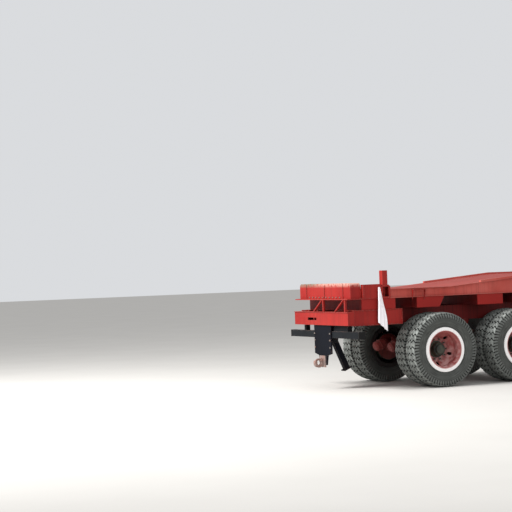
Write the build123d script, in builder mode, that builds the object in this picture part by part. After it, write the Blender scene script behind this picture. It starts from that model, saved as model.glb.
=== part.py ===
"""Running gear of a heavy grain cart: deck frame, rocking tandem bogie with twin wheels, drawbar."""
import os
from math import asin, atan2, cos, radians, sin

from build123d import *

os.makedirs("parts", exist_ok=True)

# Frame of the part: +X to the drawbar, +Z up, ground at Z = 0, all in mm.
# Positions along the cart that end in _at are measured forward from the rear axle.

# Wheels
tyre_radius = 612.0
tyre_width = 300.0
half_width_over_tyres = 1218.0
dual_gap = 36.0
axle_spacing = 1520.0
bead_radius = 305.0
bead_width = 34.0
sidewall_thickness = 32.0
rim_flange_radius = 366.0
rim_lip_radius = 300.0
rim_well_radius = 285.0
rim_metal = 9.0
rim_half_width = 130.0
rim_flange_metal = 18.0
disc_metal = 14.0
pilot_radius = 141.0
pilot_clearance = 1.0
stud_circle_radius = 167.5
stud_radius = 11.0
stud_hole_clearance = 1.5
stud_count = 10
nut_radius = 18.0
nut_height = 22.0
disc_flat_radius = 206.0
disc_rim_rise = 100.0
disc_gap = 0.3
hand_hole_circle_radius = 235.0
hand_hole_radius = 27.0
hand_hole_count = 5
hand_hole_turn = 51.0
hub_flange_radius = 195.0
hub_flange_metal = 20.0
hub_nose_radius = 112.0
hub_nose_length = 96.0
hub_cap_radius = 84.0
hub_cap_length = 38.0
drum_radius = 228.0
drum_wall = 19.0
drum_length = 172.0
drum_web_metal = 16.0
drum_neck_radius = 125.0
drum_neck_length = 32.0
spindle_radius = 45.0
running_clearance = 0.05

# Bogie
axle_beam_size = 140.0
axle_end_gap = 4.0
dust_shield_radius = 222.0
dust_shield_metal = 8.0
tyre_side_gap = 57.0
spring_width = 90.0
leaf_metal = 14.0
leaf_gap = 0.4
leaf_half_lengths = [800.0, 700.0, 610.0, 520.0, 430.0, 345.0, 260.0, 180.0]
spring_camber = 78.0
pad_radius = 55.0
pad_gap = 0.3
pad_height = 30.0
cheek_metal = 12.0
cheek_height = 62.0
trunnion_rise = 68.0
trunnion_radius = 60.0
trunnion_end_radius = 70.0
trunnion_end_metal = 14.0
saddle_radius = 95.0
saddle_half_length = 120.0
saddle_plate_metal = 20.0
saddle_side_play = 3.0
clamp_offset = 15.0
clamp_bolt_radius = 10.0
clamp_bolt_at = 86.0
clamp_plate_metal = 22.0
hanger_side_gap = 35.0
hanger_top_half_length = 230.0
hanger_eye_radius = 98.0
chamber_radius = 85.0
chamber_length = 210.0
chamber_band_radius = 94.0
chamber_band_width = 24.0
chamber_tilt = 24.0
chamber_behind = 400.0
chamber_rise = 62.0
chamber_y = 250.0
cam_tube_radius = 22.0
cam_behind = 132.0
cam_rise = 56.0
slack_adjuster_length = 120.0

# Heights of the frame
tyre_clearance = 86.0
rail_height = 250.0
bearer_height = 175.0
side_rail_height = 150.0

# Frame
deck_half_width = 920.0
frame_metal = 10.0
rail_flange_width = 90.0
frame_rear_at = -1650.0
rear_beam_depth = 120.0
rear_beam_half_width = 940.0
rear_beam_height = 210.0
rear_beam_drop = 30.0
beam_metal = 8.0
lip_metal = 10.0
lip_overhang = 12.0
slot_height = 44.0
wide_slot = (250.0, 460.0)
narrow_slot = (150.0, 232.0)
frame_front_at = 3150.0
front_bearer_length = 550.0
bearer_spans = [
    (-1370.0, -740.0),
    (-330.0, 105.0),
    (850.0, 1360.0),
    (1720.0, 2300.0),
    (frame_front_at - front_bearer_length, frame_front_at),
]
bearer_metal = 8.0
slant_gusset_length = 95.0
slant_gusset_metal = 12.0
wheel_side_gap = 10.0
side_beam_inset = 300.0
panel_recess = 16.0

# Deck and side rails
rise_start_at = 300.0
rise_end_at = 2300.0
deck_rise = 165.0
side_rail_depth = 50.0
deck_metal = 8.0
wear_plate_at = 920.0
wear_plate_metal = 30.0
joist_width = 60.0
joist_inset = 60.0
tank_bolt_radius = 11.0
tank_bolts_at = -300.0
tank_bolt_spacing_x = 800.0
tank_bolt_spacing_y = 1500.0

# Tail
tail_floor_metal = 15.0
tail_floor_rear_at = -1640.0
tail_box_rear_at = -1560.0
tail_box_depth = 190.0
tail_box_half_width = 886.0
tail_box_height = 250.0
tail_box_corner = 62.0
tail_rib_spacing = 640.0
tail_rib_width = 16.0
tail_rib_depth = 10.0
tail_bolt_radius = 12.0
tail_bolt_height = 11.0
tail_bolt_spacing = 118.0
tail_bolt_count = 10
tail_bolt_rise = 24.0
brace_size = 34.0
brace_run = 300.0
brace_tops = [-40.0, -780.0]
brace_post_width = 30.0
brace_panel_metal = 8.0

# Stakes and brackets on the deck edge
pocket_front_at = -835.0
pocket_length = 170.0
pocket_depth = 140.0
pocket_height = 190.0
pocket_metal = 10.0
pocket_block_height = 222.0
pocket_block_depth = 60.0
pocket_block_gap = 18.0
stake_size = 100.0
stake_height = 234.0
stake_collar_size = 136.0
stake_collar_metal = 16.0
stake_wall = 9.0
stake_rod_radius = 12.0
stake_rod_gap = 6.0
stake_guide_clearance = 1.0
bracket_at = -310.0
bracket_length = 240.0
bracket_reach = 44.0
bracket_metal = 12.0
bracket_drop = 24.0
flag_stand_off = 31.0
flag_thickness = 24.0
flag_hook_radius = 6.0
flag_hook_inset = 64.0
flag_hook_drop = 30.0
flag_hook_gap = 0.3

# Rear hitch, underrun bar and prop
bar_half_length = 1200.0
bar_depth = 110.0
bar_height = 110.0
bar_rear_at = -1600.0
bar_drop = 100.0
bar_wall = 8.0
bar_arm_depth = 80.0
bar_arm_near = (-780.0, -300.0)
bar_arm_far = (690.0, 750.0)
hitch_plate_metal = 25.0
hitch_plate_half_width = 290.0
hitch_plate_drop = 470.0
hitch_tongue_half_width = 150.0
hitch_tip_half_width = 112.0
hitch_tongue_drop = 660.0
hitch_bolt_inset = 25.0
hitch_bolt_rows = [140.0, 250.0, 370.0]
hitch_bolt_radius = 15.0
hitch_bolt_height = 12.0
hook_throat_radius = 38.0
hook_outer_radius = 78.0
hook_reach = 92.0
hook_drop = 620.0
hook_half_width = 32.0
hook_mouth = (48.0, 150.0)
latch_half_width = 15.0
latch_gap = 1.0
latch_slot_length = 60.0
latch_slot_height = 90.0
hook_back_metal = 18.0
latch_pin_radius = 8.0
latch_lug_radius = 19.0
prop_pivot_at = -1420.0
prop_pivot_drop = 240.0
prop_lean = 24.0
prop_length = 560.0
prop_size = 92.0
prop_half_width = 42.0
prop_pin_radius = 16.0
prop_foot_size = 150.0
prop_foot_metal = 14.0
prop_cheek_metal = 14.0
prop_cheek_gap = 3.0
prop_cheek_radius = 62.0

# Drawbar and jack
front_beam_depth = 100.0
drawbar_width = 100.0
drawbar_height = 160.0
drawbar_head_at = 4760.0
drawbar_head_length = 260.0
drawbar_head_half_width = 115.0
drawbar_head_height = 190.0
coupling_height = 760.0
drawbar_start_rise = 110.0
eye_flange_metal = 24.0
eye_flange_half_width = 95.0
eye_flange_half_height = 85.0
eye_reach = 180.0
eye_bore_radius = 38.0
eye_outer_radius = 82.0
eye_half_height = 32.0
eye_bolt_spacing_y = 130.0
eye_bolt_spacing_z = 110.0
eye_bolt_radius = 12.0
eye_bolt_head = 14.0
tie_at = 3950.0
tie_radius = 45.0
jack_at = 4330.0
jack_tube_radius = 46.0
jack_tube_wall = 7.0
jack_tube_bottom = 330.0
jack_tube_top = 1090.0
jack_leg_wall = 7.0
jack_travel = 300.0
jack_top_gap = 10.0
jack_foot_size = 220.0
jack_foot_metal = 14.0
jack_side_gap = 70.0
jack_bracket_length = 120.0
jack_bracket_height = 110.0
jack_head_height = 90.0
jack_head_half_width = 54.0
crank_shaft_radius = 12.0
crank_stub = 70.0
crank_arm_length = 170.0
crank_arm_metal = 12.0
crank_arm_width = 34.0
crank_grip_radius = 15.0
crank_grip_length = 120.0

# Heights worked out from the wheels upward
axle_z = tyre_radius
rail_top_z = 2 * tyre_radius + tyre_clearance
rail_bottom_z = rail_top_z - rail_height
bearer_top_z = rail_top_z + bearer_height
deck_z = bearer_top_z + side_rail_height
trunnion_z = axle_z + trunnion_rise

# Places across the cart, worked out from the tyres inward
dual_spacing = tyre_width + dual_gap
outer_tyre_y = half_width_over_tyres - tyre_width / 2
mount_y = outer_tyre_y - dual_spacing / 2
inner_tyre_face_y = outer_tyre_y - dual_spacing - tyre_width / 2
spring_y = inner_tyre_face_y - tyre_side_gap - spring_width / 2
rail_outer_y = spring_y - spring_width / 2 - hanger_side_gap
rail_inner_y = rail_outer_y - rail_flange_width

# Places along the cart: the middle of the whole length is X = 0
hook_centre_at = bar_rear_at - hitch_plate_metal - hook_reach
rear_end_at = hook_centre_at - hook_outer_radius
eye_centre_at = drawbar_head_at + drawbar_head_length + eye_flange_metal + eye_reach
front_end_at = eye_centre_at + eye_outer_radius
rear_axle_x = -(rear_end_at + front_end_at) / 2
frame_rear_x = rear_axle_x + frame_rear_at
frame_front_x = rear_axle_x + frame_front_at
rear_beam_front_x = frame_rear_x + rear_beam_depth
trunnion_x = rear_axle_x + axle_spacing / 2
axle_x = {"rear": rear_axle_x, "front": rear_axle_x + axle_spacing}
sides = {"left": 1, "right": -1}


def write(part, name):
    part.label = name
    export_step(part, f"parts/{name}.step")


# ---------------------------------------------------------------- tyres, wheels and hubs
# Each wheel set turns about its axle; profiles are drawn as radius across and outboard distance up,
# from the face where the two wheels meet on the hub.

rim_seat_half_width = rim_half_width - rim_flange_metal
well_half_width = rim_seat_half_width - 62.0
barrel_inner_radius = rim_well_radius - rim_metal
shoulder_radius = tyre_radius - 16.0
tread_half_width = tyre_width / 2 - 20.0
casing_radius = tyre_radius - 30.0
sidewall_radius = (tyre_radius + rim_flange_radius) / 2 - 10.0

for axle_name in axle_x:
    for side_name, side in sides.items():
        set_name = f"{axle_name}_{side_name}"
        centre = (axle_x[axle_name], side * mount_y, axle_z)
        section = Plane(origin=centre, x_dir=(1, 0, 0), z_dir=(0, 0, side))
        face = Plane(origin=centre, x_dir=(1, 0, 0), z_dir=(0, side, 0))
        spin = Axis(centre, (0, side, 0))

        # Tyres: beads on the rim seats, bulged sidewalls, crowned tread, hollow casing
        for place, out in (("outer", 1), ("inner", -1)):
            middle = out * dual_spacing / 2
            low_seat = middle - rim_seat_half_width
            high_seat = middle + rim_seat_half_width
            with BuildPart() as tyre:
                with BuildSketch(section):
                    with BuildLine():
                        Line((bead_radius, low_seat + bead_width), (bead_radius, low_seat))
                        Line((bead_radius, low_seat), (rim_flange_radius, low_seat))
                        ThreePointArc(
                            (rim_flange_radius, low_seat),
                            (sidewall_radius, middle - tyre_width / 2),
                            (shoulder_radius, middle - tread_half_width),
                        )
                        ThreePointArc(
                            (shoulder_radius, middle - tread_half_width),
                            (tyre_radius, middle),
                            (shoulder_radius, middle + tread_half_width),
                        )
                        ThreePointArc(
                            (shoulder_radius, middle + tread_half_width),
                            (sidewall_radius, middle + tyre_width / 2),
                            (rim_flange_radius, high_seat),
                        )
                        Line((rim_flange_radius, high_seat), (bead_radius, high_seat))
                        Line((bead_radius, high_seat), (bead_radius, high_seat - bead_width))
                        for way, seat in ((1, high_seat), (-1, low_seat)):
                            ThreePointArc(
                                (bead_radius, seat - way * bead_width),
                                (sidewall_radius - 40, middle + way * (tyre_width / 2 - sidewall_thickness)),
                                (casing_radius - 24, middle + way * (tread_half_width - sidewall_thickness)),
                            )
                        ThreePointArc(
                            (casing_radius - 24, middle + tread_half_width - sidewall_thickness),
                            (casing_radius, middle),
                            (casing_radius - 24, middle - tread_half_width + sidewall_thickness),
                        )
                    make_face()
                revolve(axis=spin)
            write(tyre.part, f"tyre_{set_name}_{place}")

        # Pair of disc wheels, back to back on the hub: rim, dished disc, hand holes, stud holes
        with BuildPart() as wheels:
            for out in (1, -1):
                with BuildSketch(section):
                    with BuildLine():
                        seat = out * dual_spacing / 2
                        Polyline(
                            (rim_flange_radius, seat + rim_seat_half_width),
                            (bead_radius, seat + rim_seat_half_width),
                            (bead_radius, seat + well_half_width + 14),
                            (rim_well_radius, seat + well_half_width),
                            (rim_well_radius, seat - well_half_width),
                            (bead_radius, seat - well_half_width - 14),
                            (bead_radius, seat - rim_seat_half_width),
                            (rim_flange_radius, seat - rim_seat_half_width),
                            (rim_flange_radius, seat - rim_half_width + 7),
                            (rim_flange_radius - 7, seat - rim_half_width),
                            (rim_lip_radius + 26, seat - rim_half_width),
                            (rim_lip_radius + 24, seat - rim_half_width + 5),
                            (rim_lip_radius + 20, seat - rim_half_width + 5),
                            (rim_lip_radius + 18, seat - rim_half_width),
                            (rim_lip_radius, seat - rim_half_width),
                            (rim_lip_radius - 5, seat - rim_half_width + 34),
                            (barrel_inner_radius, seat - well_half_width - 10),
                            (barrel_inner_radius, seat + well_half_width + 10),
                            (rim_lip_radius - 5, seat + rim_half_width - 34),
                            (rim_lip_radius, seat + rim_half_width),
                            (rim_lip_radius + 18, seat + rim_half_width),
                            (rim_lip_radius + 20, seat + rim_half_width - 5),
                            (rim_lip_radius + 24, seat + rim_half_width - 5),
                            (rim_lip_radius + 26, seat + rim_half_width),
                            (rim_flange_radius - 7, seat + rim_half_width),
                            (rim_flange_radius, seat + rim_half_width - 7),
                            close=True,
                        )
                    make_face()
                    with BuildLine():
                        Polyline(
                            (pilot_radius, out * disc_gap / 2),
                            (disc_flat_radius, out * disc_gap / 2),
                            (barrel_inner_radius, out * disc_rim_rise),
                            (barrel_inner_radius + 3, out * (disc_rim_rise + 24)),
                            (barrel_inner_radius - 8, out * (disc_rim_rise + 24)),
                            (disc_flat_radius - 5, out * disc_metal),
                            (pilot_radius, out * disc_metal),
                            close=True,
                        )
                    make_face()
                revolve(axis=spin)
            with Locations(face):
                with PolarLocations(hand_hole_circle_radius, hand_hole_count, hand_hole_turn):
                    Hole(hand_hole_radius)
                with PolarLocations(stud_circle_radius, stud_count):
                    Hole(stud_radius + stud_hole_clearance)
        write(wheels.part, f"wheels_{set_name}")

        # Hub and brake drum: flange behind the inner wheel, pilot, nose, cap, drum shell
        flange_out = -disc_metal
        flange_in = flange_out - hub_flange_metal
        web_out = flange_in - drum_neck_length
        web_in = web_out - drum_web_metal
        pilot_out = disc_metal + 10
        with BuildPart() as hub:
            with BuildSketch(section):
                with BuildLine():
                    Polyline(
                        (spindle_radius + running_clearance, web_in - 40),
                        (spindle_radius + 26, web_in - 40),
                        (spindle_radius + 40, web_in),
                        (drum_radius - drum_wall, web_in),
                        (drum_radius - drum_wall, web_in - drum_length),
                        (drum_radius + 6, web_in - drum_length),
                        (drum_radius + 6, web_in - drum_length + 22),
                        (drum_radius, web_in - drum_length + 28),
                        (drum_radius, web_out - 10),
                        (drum_radius - 8, web_out),
                        (drum_neck_radius, web_out),
                        (drum_neck_radius, flange_in),
                        (hub_flange_radius, flange_in),
                        (hub_flange_radius, flange_out),
                        (pilot_radius - pilot_clearance, flange_out),
                        (pilot_radius - pilot_clearance, pilot_out),
                        (hub_nose_radius + 6, pilot_out),
                        (hub_nose_radius, pilot_out + 8),
                        (hub_nose_radius - 4, pilot_out + hub_nose_length - 8),
                        (hub_nose_radius - 12, pilot_out + hub_nose_length),
                        (hub_cap_radius, pilot_out + hub_nose_length),
                        (hub_cap_radius - 4, pilot_out + hub_nose_length + hub_cap_length - 8),
                        (hub_cap_radius - 14, pilot_out + hub_nose_length + hub_cap_length),
                        (0, pilot_out + hub_nose_length + hub_cap_length),
                        (0, pilot_out + hub_nose_length + 14),
                        (spindle_radius + running_clearance, pilot_out + hub_nose_length + 14),
                        close=True,
                    )
                make_face()
            revolve(axis=spin)
            with BuildSketch(face.offset(flange_in)):
                with PolarLocations(stud_circle_radius, stud_count):
                    Circle(stud_radius)
            extrude(amount=2 * disc_metal + hub_flange_metal + nut_height + 14)
            with BuildSketch(face.offset(pilot_out + hub_nose_length)):
                with PolarLocations((hub_nose_radius + hub_cap_radius) / 2 - 5, 8):
                    Circle(6.5)
            extrude(amount=8)
        write(hub.part, f"hub_{set_name}")

        # Wheel nuts, one on each stud outside the outer wheel
        with BuildPart() as nuts:
            with BuildSketch(face.offset(disc_metal)):
                with PolarLocations(stud_circle_radius, stud_count):
                    RegularPolygon(nut_radius, 6)
                with PolarLocations(stud_circle_radius, stud_count):
                    Circle(stud_radius, mode=Mode.SUBTRACT)
            extrude(amount=nut_height)
        write(nuts.part, f"wheel_nuts_{set_name}")

# ---------------------------------------------------------------- axles
# Square beams with round spindles, dust shields, spring pads, cam tubes and chamber brackets.

drum_mouth_y = mount_y - disc_metal - hub_flange_metal - drum_neck_length - drum_web_metal - drum_length
spindle_end_y = mount_y + disc_metal + 10 + hub_nose_length
beam_end_y = drum_mouth_y - axle_end_gap - dust_shield_metal
spring_span = axle_spacing / 2
spring_radius = (spring_span**2 + spring_camber**2) / (2 * spring_camber)
spring_slope = asin(spring_span / spring_radius)
spring_end_z = axle_z + axle_beam_size / 2 + pad_height
pad_centre_z = spring_end_z - (pad_radius + pad_gap) / cos(spring_slope)
chamber_axis = (cos(radians(chamber_tilt)), 0, sin(radians(chamber_tilt)))
bracket_plate_metal = 12.0

for axle_name, here in axle_x.items():
    nose_x = here - chamber_behind + chamber_axis[0] * chamber_length / 2
    nose_z = axle_z + chamber_rise + chamber_axis[2] * chamber_length / 2
    with BuildPart() as axle:
        with BuildSketch(Plane.XZ.offset(-beam_end_y)):
            with Locations((here, axle_z)):
                RectangleRounded(axle_beam_size, axle_beam_size, 14)
        extrude(amount=2 * beam_end_y)
        with BuildSketch(Plane.XZ.offset(-spindle_end_y)):
            with Locations((here, axle_z)):
                Circle(spindle_radius)
        extrude(amount=2 * spindle_end_y)
        for side in (1, -1):
            with BuildSketch(Plane.XZ.offset(-side * beam_end_y)):
                with Locations((here, axle_z)):
                    Circle(dust_shield_radius)
            extrude(amount=-side * dust_shield_metal)
            # Rounded pad under the spring end, with a cheek on each side of the leaves
            with BuildSketch(Plane.XZ.offset(-side * (spring_y - spring_width / 2))):
                with Locations((here, pad_centre_z)):
                    Circle(pad_radius)
            extrude(amount=-side * spring_width)
            for cheek in (1, -1):
                cheek_y = side * (spring_y + cheek * (spring_width / 2 + 3 + cheek_metal / 2))
                with Locations((here, cheek_y, axle_z + axle_beam_size / 2 + cheek_height / 2 - 4)):
                    Box(130, cheek_metal, cheek_height + 8)
            # Cam tube from the dust shield to the slack adjuster, on two small posts
            with BuildSketch(Plane.XZ.offset(-side * (chamber_y - 24))):
                with Locations((here - cam_behind, axle_z + cam_rise)):
                    Circle(cam_tube_radius)
            extrude(amount=-side * (beam_end_y - chamber_y + 24))
            for post in (0.25, 0.8):
                post_y = side * (chamber_y + post * (beam_end_y - chamber_y))
                with Locations(((here - cam_behind / 2 - 20), post_y, axle_z + cam_rise - 8)):
                    Box(cam_behind - 40, 26, 22)
            # Slack adjuster arm, reaching down to the push rod
            with BuildSketch(Plane.XZ.offset(-side * (chamber_y - 14))):
                with BuildLine():
                    arm_x = here - cam_behind
                    arm_z = axle_z + cam_rise
                    Polyline(
                        (arm_x - 30, arm_z - 12),
                        (arm_x - 22, arm_z + slack_adjuster_length),
                        (arm_x + 14, arm_z + slack_adjuster_length),
                        (arm_x + 30, arm_z - 12),
                        (arm_x, arm_z - 34),
                        close=True,
                    )
                make_face()
            extrude(amount=-side * 28)
            # Bracket plate that the brake chamber bolts to, carried back from the beam
            with BuildSketch(Plane.XZ.offset(-side * (chamber_y + chamber_radius * 0.55))):
                with BuildLine():
                    Polyline(
                        (here - axle_beam_size / 2 + 2, axle_z + axle_beam_size / 2 - 12),
                        (nose_x + 14, nose_z + chamber_radius * 0.5),
                        (nose_x + 4, nose_z + chamber_radius * 0.5),
                        (nose_x + 40, nose_z - chamber_radius * 0.95),
                        (here - axle_beam_size / 2 + 2, axle_z - axle_beam_size / 2 + 12),
                        close=True,
                    )
                make_face()
            extrude(amount=-side * bracket_plate_metal)
            mount_plane = Plane(
                origin=(nose_x, side * chamber_y, nose_z), x_dir=(0, 1, 0), z_dir=chamber_axis
            )
            with BuildSketch(mount_plane):
                Rectangle(chamber_radius * 1.5, chamber_radius * 1.5)
                Circle(16, mode=Mode.SUBTRACT)
            extrude(amount=bracket_plate_metal)
    write(axle.part, f"axle_{axle_name}")

# Brake chambers behind each axle: two pressed shells, a clamp band, a push rod
with BuildPart() as chambers:
    for here in axle_x.values():
        for side in (1, -1):
            nose = (
                here - chamber_behind + chamber_axis[0] * chamber_length / 2,
                side * chamber_y,
                axle_z + chamber_rise + chamber_axis[2] * chamber_length / 2,
            )
            profile = Plane(origin=nose, x_dir=(0, 1, 0), z_dir=(-chamber_axis[2], 0, chamber_axis[0]))
            half_band = chamber_band_width / 2
            with BuildSketch(profile):
                with BuildLine():
                    Polyline(
                        (0, 0),
                        (chamber_radius - 14, 0),
                        (chamber_radius, 14),
                        (chamber_radius, chamber_length / 2 - half_band),
                        (chamber_band_radius, chamber_length / 2 - half_band + 4),
                        (chamber_band_radius, chamber_length / 2 + half_band - 4),
                        (chamber_radius, chamber_length / 2 + half_band),
                        (chamber_radius, chamber_length - 26),
                        (chamber_radius - 24, chamber_length),
                        (0, chamber_length),
                        close=True,
                    )
                make_face()
            revolve(axis=Axis(nose, chamber_axis))
write(chambers.part, "brake_chambers")

# ---------------------------------------------------------------- springs, saddles, trunnion
# Inverted leaf springs: the long leaf rests on the axle pads, the shorter ones lie above it.

spring_centre_z = spring_end_z + spring_camber - spring_radius
saddle_top_z = spring_end_z + spring_camber - saddle_half_length**2 / (2 * spring_radius) - pad_gap
pack_top_z = spring_end_z + spring_camber + len(leaf_half_lengths) * (leaf_metal + leaf_gap)
clamp_y = spring_width / 2 + clamp_offset

for side_name, side in sides.items():
    with BuildPart() as spring:
        for count, half_length in enumerate(leaf_half_lengths):
            low = spring_radius + count * (leaf_metal + leaf_gap)
            high = low + leaf_metal
            swing = half_length / low
            with BuildSketch(Plane.XZ.offset(-side * (spring_y - spring_width / 2))):
                with BuildLine():
                    ends = []
                    for radius in (low, high):
                        tip = (radius * sin(swing), spring_centre_z + radius * cos(swing))
                        ends.append(tip)
                        ThreePointArc(
                            (trunnion_x - tip[0], tip[1]),
                            (trunnion_x, spring_centre_z + radius),
                            (trunnion_x + tip[0], tip[1]),
                        )
                    for way in (1, -1):
                        Line(
                            (trunnion_x + way * ends[0][0], ends[0][1]),
                            (trunnion_x + way * ends[1][0], ends[1][1]),
                        )
                make_face()
            extrude(amount=-side * spring_width)
    write(spring.part, f"leaf_spring_{side_name}")

# Saddles that turn on the trunnion tube and carry the springs
with BuildPart() as saddles:
    for side in (1, -1):
        with BuildSketch(Plane.XZ.offset(-side * (spring_y - spring_width / 2 + saddle_side_play))):
            with Locations((trunnion_x, trunnion_z)):
                Circle(saddle_radius)
            with Locations((trunnion_x, (trunnion_z + saddle_top_z) / 2)):
                Rectangle(2 * saddle_half_length - 60, saddle_top_z - trunnion_z)
            with Locations((trunnion_x, saddle_top_z - 8)):
                Rectangle(2 * saddle_half_length, 16)
            with Locations((trunnion_x, trunnion_z)):
                Circle(trunnion_radius + running_clearance, mode=Mode.SUBTRACT)
        extrude(amount=-side * (spring_width - 2 * saddle_side_play))
        flange_z = trunnion_z + trunnion_end_radius + 4
        with Locations((trunnion_x, side * spring_y, flange_z + saddle_plate_metal / 2)):
            Box(2 * (clamp_bolt_at + 24), 2 * (clamp_y + 17), saddle_plate_metal)
        for along in (1, -1):
            for across in (1, -1):
                bolt_x = trunnion_x + along * clamp_bolt_at
                bolt_y = side * spring_y + across * clamp_y
                with Locations((bolt_x, bolt_y, flange_z)):
                    Cylinder(clamp_bolt_radius, 4 * saddle_plate_metal, mode=Mode.SUBTRACT)
write(saddles.part, "spring_saddles")

# Clamp plates and bolts that hold each spring pack down on its saddle
with BuildPart() as clamps:
    for side in (1, -1):
        plate_z = pack_top_z + clamp_plate_metal / 2
        with Locations((trunnion_x, side * spring_y, plate_z)):
            Box(2 * (clamp_bolt_at + 24), 2 * (clamp_y + 17), clamp_plate_metal)
        for along in (1, -1):
            for across in (1, -1):
                bolt = (trunnion_x + along * clamp_bolt_at, side * spring_y + across * clamp_y)
                bolt_low = flange_z - 24
                bolt_high = pack_top_z + clamp_plate_metal
                with Locations((*bolt, (bolt_low + bolt_high) / 2)):
                    Cylinder(clamp_bolt_radius, bolt_high - bolt_low)
                with BuildSketch(Plane.XY.offset(bolt_high)):
                    with Locations(bolt):
                        RegularPolygon(17, 6)
                extrude(amount=14)
                with BuildSketch(Plane.XY.offset(flange_z)):
                    with Locations(bolt):
                        RegularPolygon(17, 6)
                extrude(amount=-16)
write(clamps.part, "spring_clamps")

# Trunnion tube across the frame, with end washers that keep the saddles on
trunnion_half_length = spring_y + spring_width / 2 + 3
with BuildPart() as trunnion:
    with BuildSketch(Plane.XZ.offset(-trunnion_half_length)):
        with Locations((trunnion_x, trunnion_z)):
            Circle(trunnion_radius)
    extrude(amount=2 * trunnion_half_length)
    for side in (1, -1):
        with BuildSketch(Plane.XZ.offset(-side * trunnion_half_length)):
            with Locations((trunnion_x, trunnion_z)):
                Circle(trunnion_end_radius)
        extrude(amount=-side * trunnion_end_metal)
    fillet(trunnion.edges().filter_by(GeomType.CIRCLE).group_by(Axis.Y)[-1], 4)
    fillet(trunnion.edges().filter_by(GeomType.CIRCLE).group_by(Axis.Y)[0], 4)
write(trunnion.part, "trunnion_tube")

# Hangers under the main rails: tapered cast brackets with an eye for the trunnion tube
with BuildPart() as hangers:
    for side in (1, -1):
        with BuildSketch(Plane.XZ.offset(-side * rail_inner_y)):
            with BuildLine():
                Polyline(
                    (trunnion_x - hanger_top_half_length, rail_bottom_z),
                    (trunnion_x + hanger_top_half_length, rail_bottom_z),
                    (trunnion_x + hanger_top_half_length, rail_bottom_z - 30),
                    (trunnion_x + hanger_eye_radius, trunnion_z),
                    (trunnion_x - hanger_eye_radius, trunnion_z),
                    (trunnion_x - hanger_top_half_length, rail_bottom_z - 30),
                    close=True,
                )
            make_face()
            with Locations((trunnion_x, trunnion_z)):
                Circle(hanger_eye_radius)
                Circle(trunnion_radius, mode=Mode.SUBTRACT)
        extrude(amount=-side * rail_flange_width)
        pocket_low = trunnion_z + hanger_eye_radius + 30
        for face_y, way in ((rail_inner_y, 1), (rail_outer_y, -1)):
            with BuildSketch(Plane.XZ.offset(-side * face_y)):
                with BuildLine():
                    Polyline(
                        (trunnion_x - 150, rail_bottom_z - 45),
                        (trunnion_x + 150, rail_bottom_z - 45),
                        (trunnion_x + 88, pocket_low),
                        (trunnion_x - 88, pocket_low),
                        close=True,
                    )
                make_face()
            extrude(amount=-side * way * 34, mode=Mode.SUBTRACT)
write(hangers.part, "trunnion_hangers")

# ---------------------------------------------------------------- main frame
# Two channel rails run the length of the frame; box bearers cross them and carry the deck.

for side_name, side in sides.items():
    with BuildPart() as rail:
        with BuildSketch(Plane.YZ.offset(rear_beam_front_x)):
            with Locations((side * (rail_inner_y + rail_outer_y) / 2, (rail_bottom_z + rail_top_z) / 2)):
                Rectangle(rail_flange_width, rail_height)
            hollow_y = side * ((rail_inner_y + rail_outer_y) / 2 - frame_metal)
            with Locations((hollow_y, (rail_bottom_z + rail_top_z) / 2)):
                Rectangle(rail_flange_width, rail_height - 2 * frame_metal, mode=Mode.SUBTRACT)
        extrude(amount=frame_front_x - rear_beam_front_x)
    write(rail.part, f"main_rail_{side_name}")

rear_beam_top_z = rail_top_z - rear_beam_drop
rear_beam_z = rear_beam_top_z - rear_beam_height / 2
slot_z = rear_beam_z - 4

# Rear cross beam: hollow box with two slots in its back plate and a lipped cap plate
with BuildPart() as rear_beam:
    with Locations((frame_rear_x + rear_beam_depth / 2, 0, rear_beam_z)):
        Box(rear_beam_depth, 2 * rear_beam_half_width, rear_beam_height)
        Box(
            rear_beam_depth - 2 * beam_metal,
            2 * (rear_beam_half_width - beam_metal),
            rear_beam_height - 2 * beam_metal,
            mode=Mode.SUBTRACT,
        )
    with Locations((frame_rear_x + (rear_beam_depth - lip_overhang) / 2, 0, rear_beam_top_z + lip_metal / 2)):
        Box(rear_beam_depth + lip_overhang, 2 * rear_beam_half_width, lip_metal)
    for slot in (wide_slot, narrow_slot):
        with Locations((frame_rear_x, (slot[0] + slot[1]) / 2, slot_z)):
            Box(4 * beam_metal, slot[1] - slot[0], slot_height, mode=Mode.SUBTRACT)
write(rear_beam.part, "rear_cross_beam")

# Rear side beams: deep channels outside the rails, from the cross beam to the rear wheels
side_beam_front_x = rear_axle_x - tyre_radius - wheel_side_gap
for side_name, side in sides.items():
    with BuildPart() as side_beam:
        with BuildSketch(Plane.YZ.offset(rear_beam_front_x)):
            beam_y = side * (deck_half_width - side_beam_inset / 2)
            with Locations((beam_y, (rail_bottom_z + rail_top_z) / 2)):
                Rectangle(side_beam_inset, rail_height)
            web_inner_y = beam_y - side * (panel_recess + frame_metal)
            with Locations((web_inner_y, (rail_bottom_z + rail_top_z) / 2)):
                Rectangle(side_beam_inset, rail_height - 2 * frame_metal, mode=Mode.SUBTRACT)
            recess_y = side * (deck_half_width - panel_recess / 2)
            with Locations((recess_y, (rail_bottom_z + rail_top_z) / 2)):
                Rectangle(panel_recess, rail_height - 2 * frame_metal, mode=Mode.SUBTRACT)
        extrude(amount=side_beam_front_x - rear_beam_front_x)
        with Locations((side_beam_front_x - frame_metal / 2, beam_y, (rail_bottom_z + rail_top_z) / 2)):
            Box(frame_metal, side_beam_inset, rail_height)
    write(side_beam.part, f"rear_side_beam_{side_name}")

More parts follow.
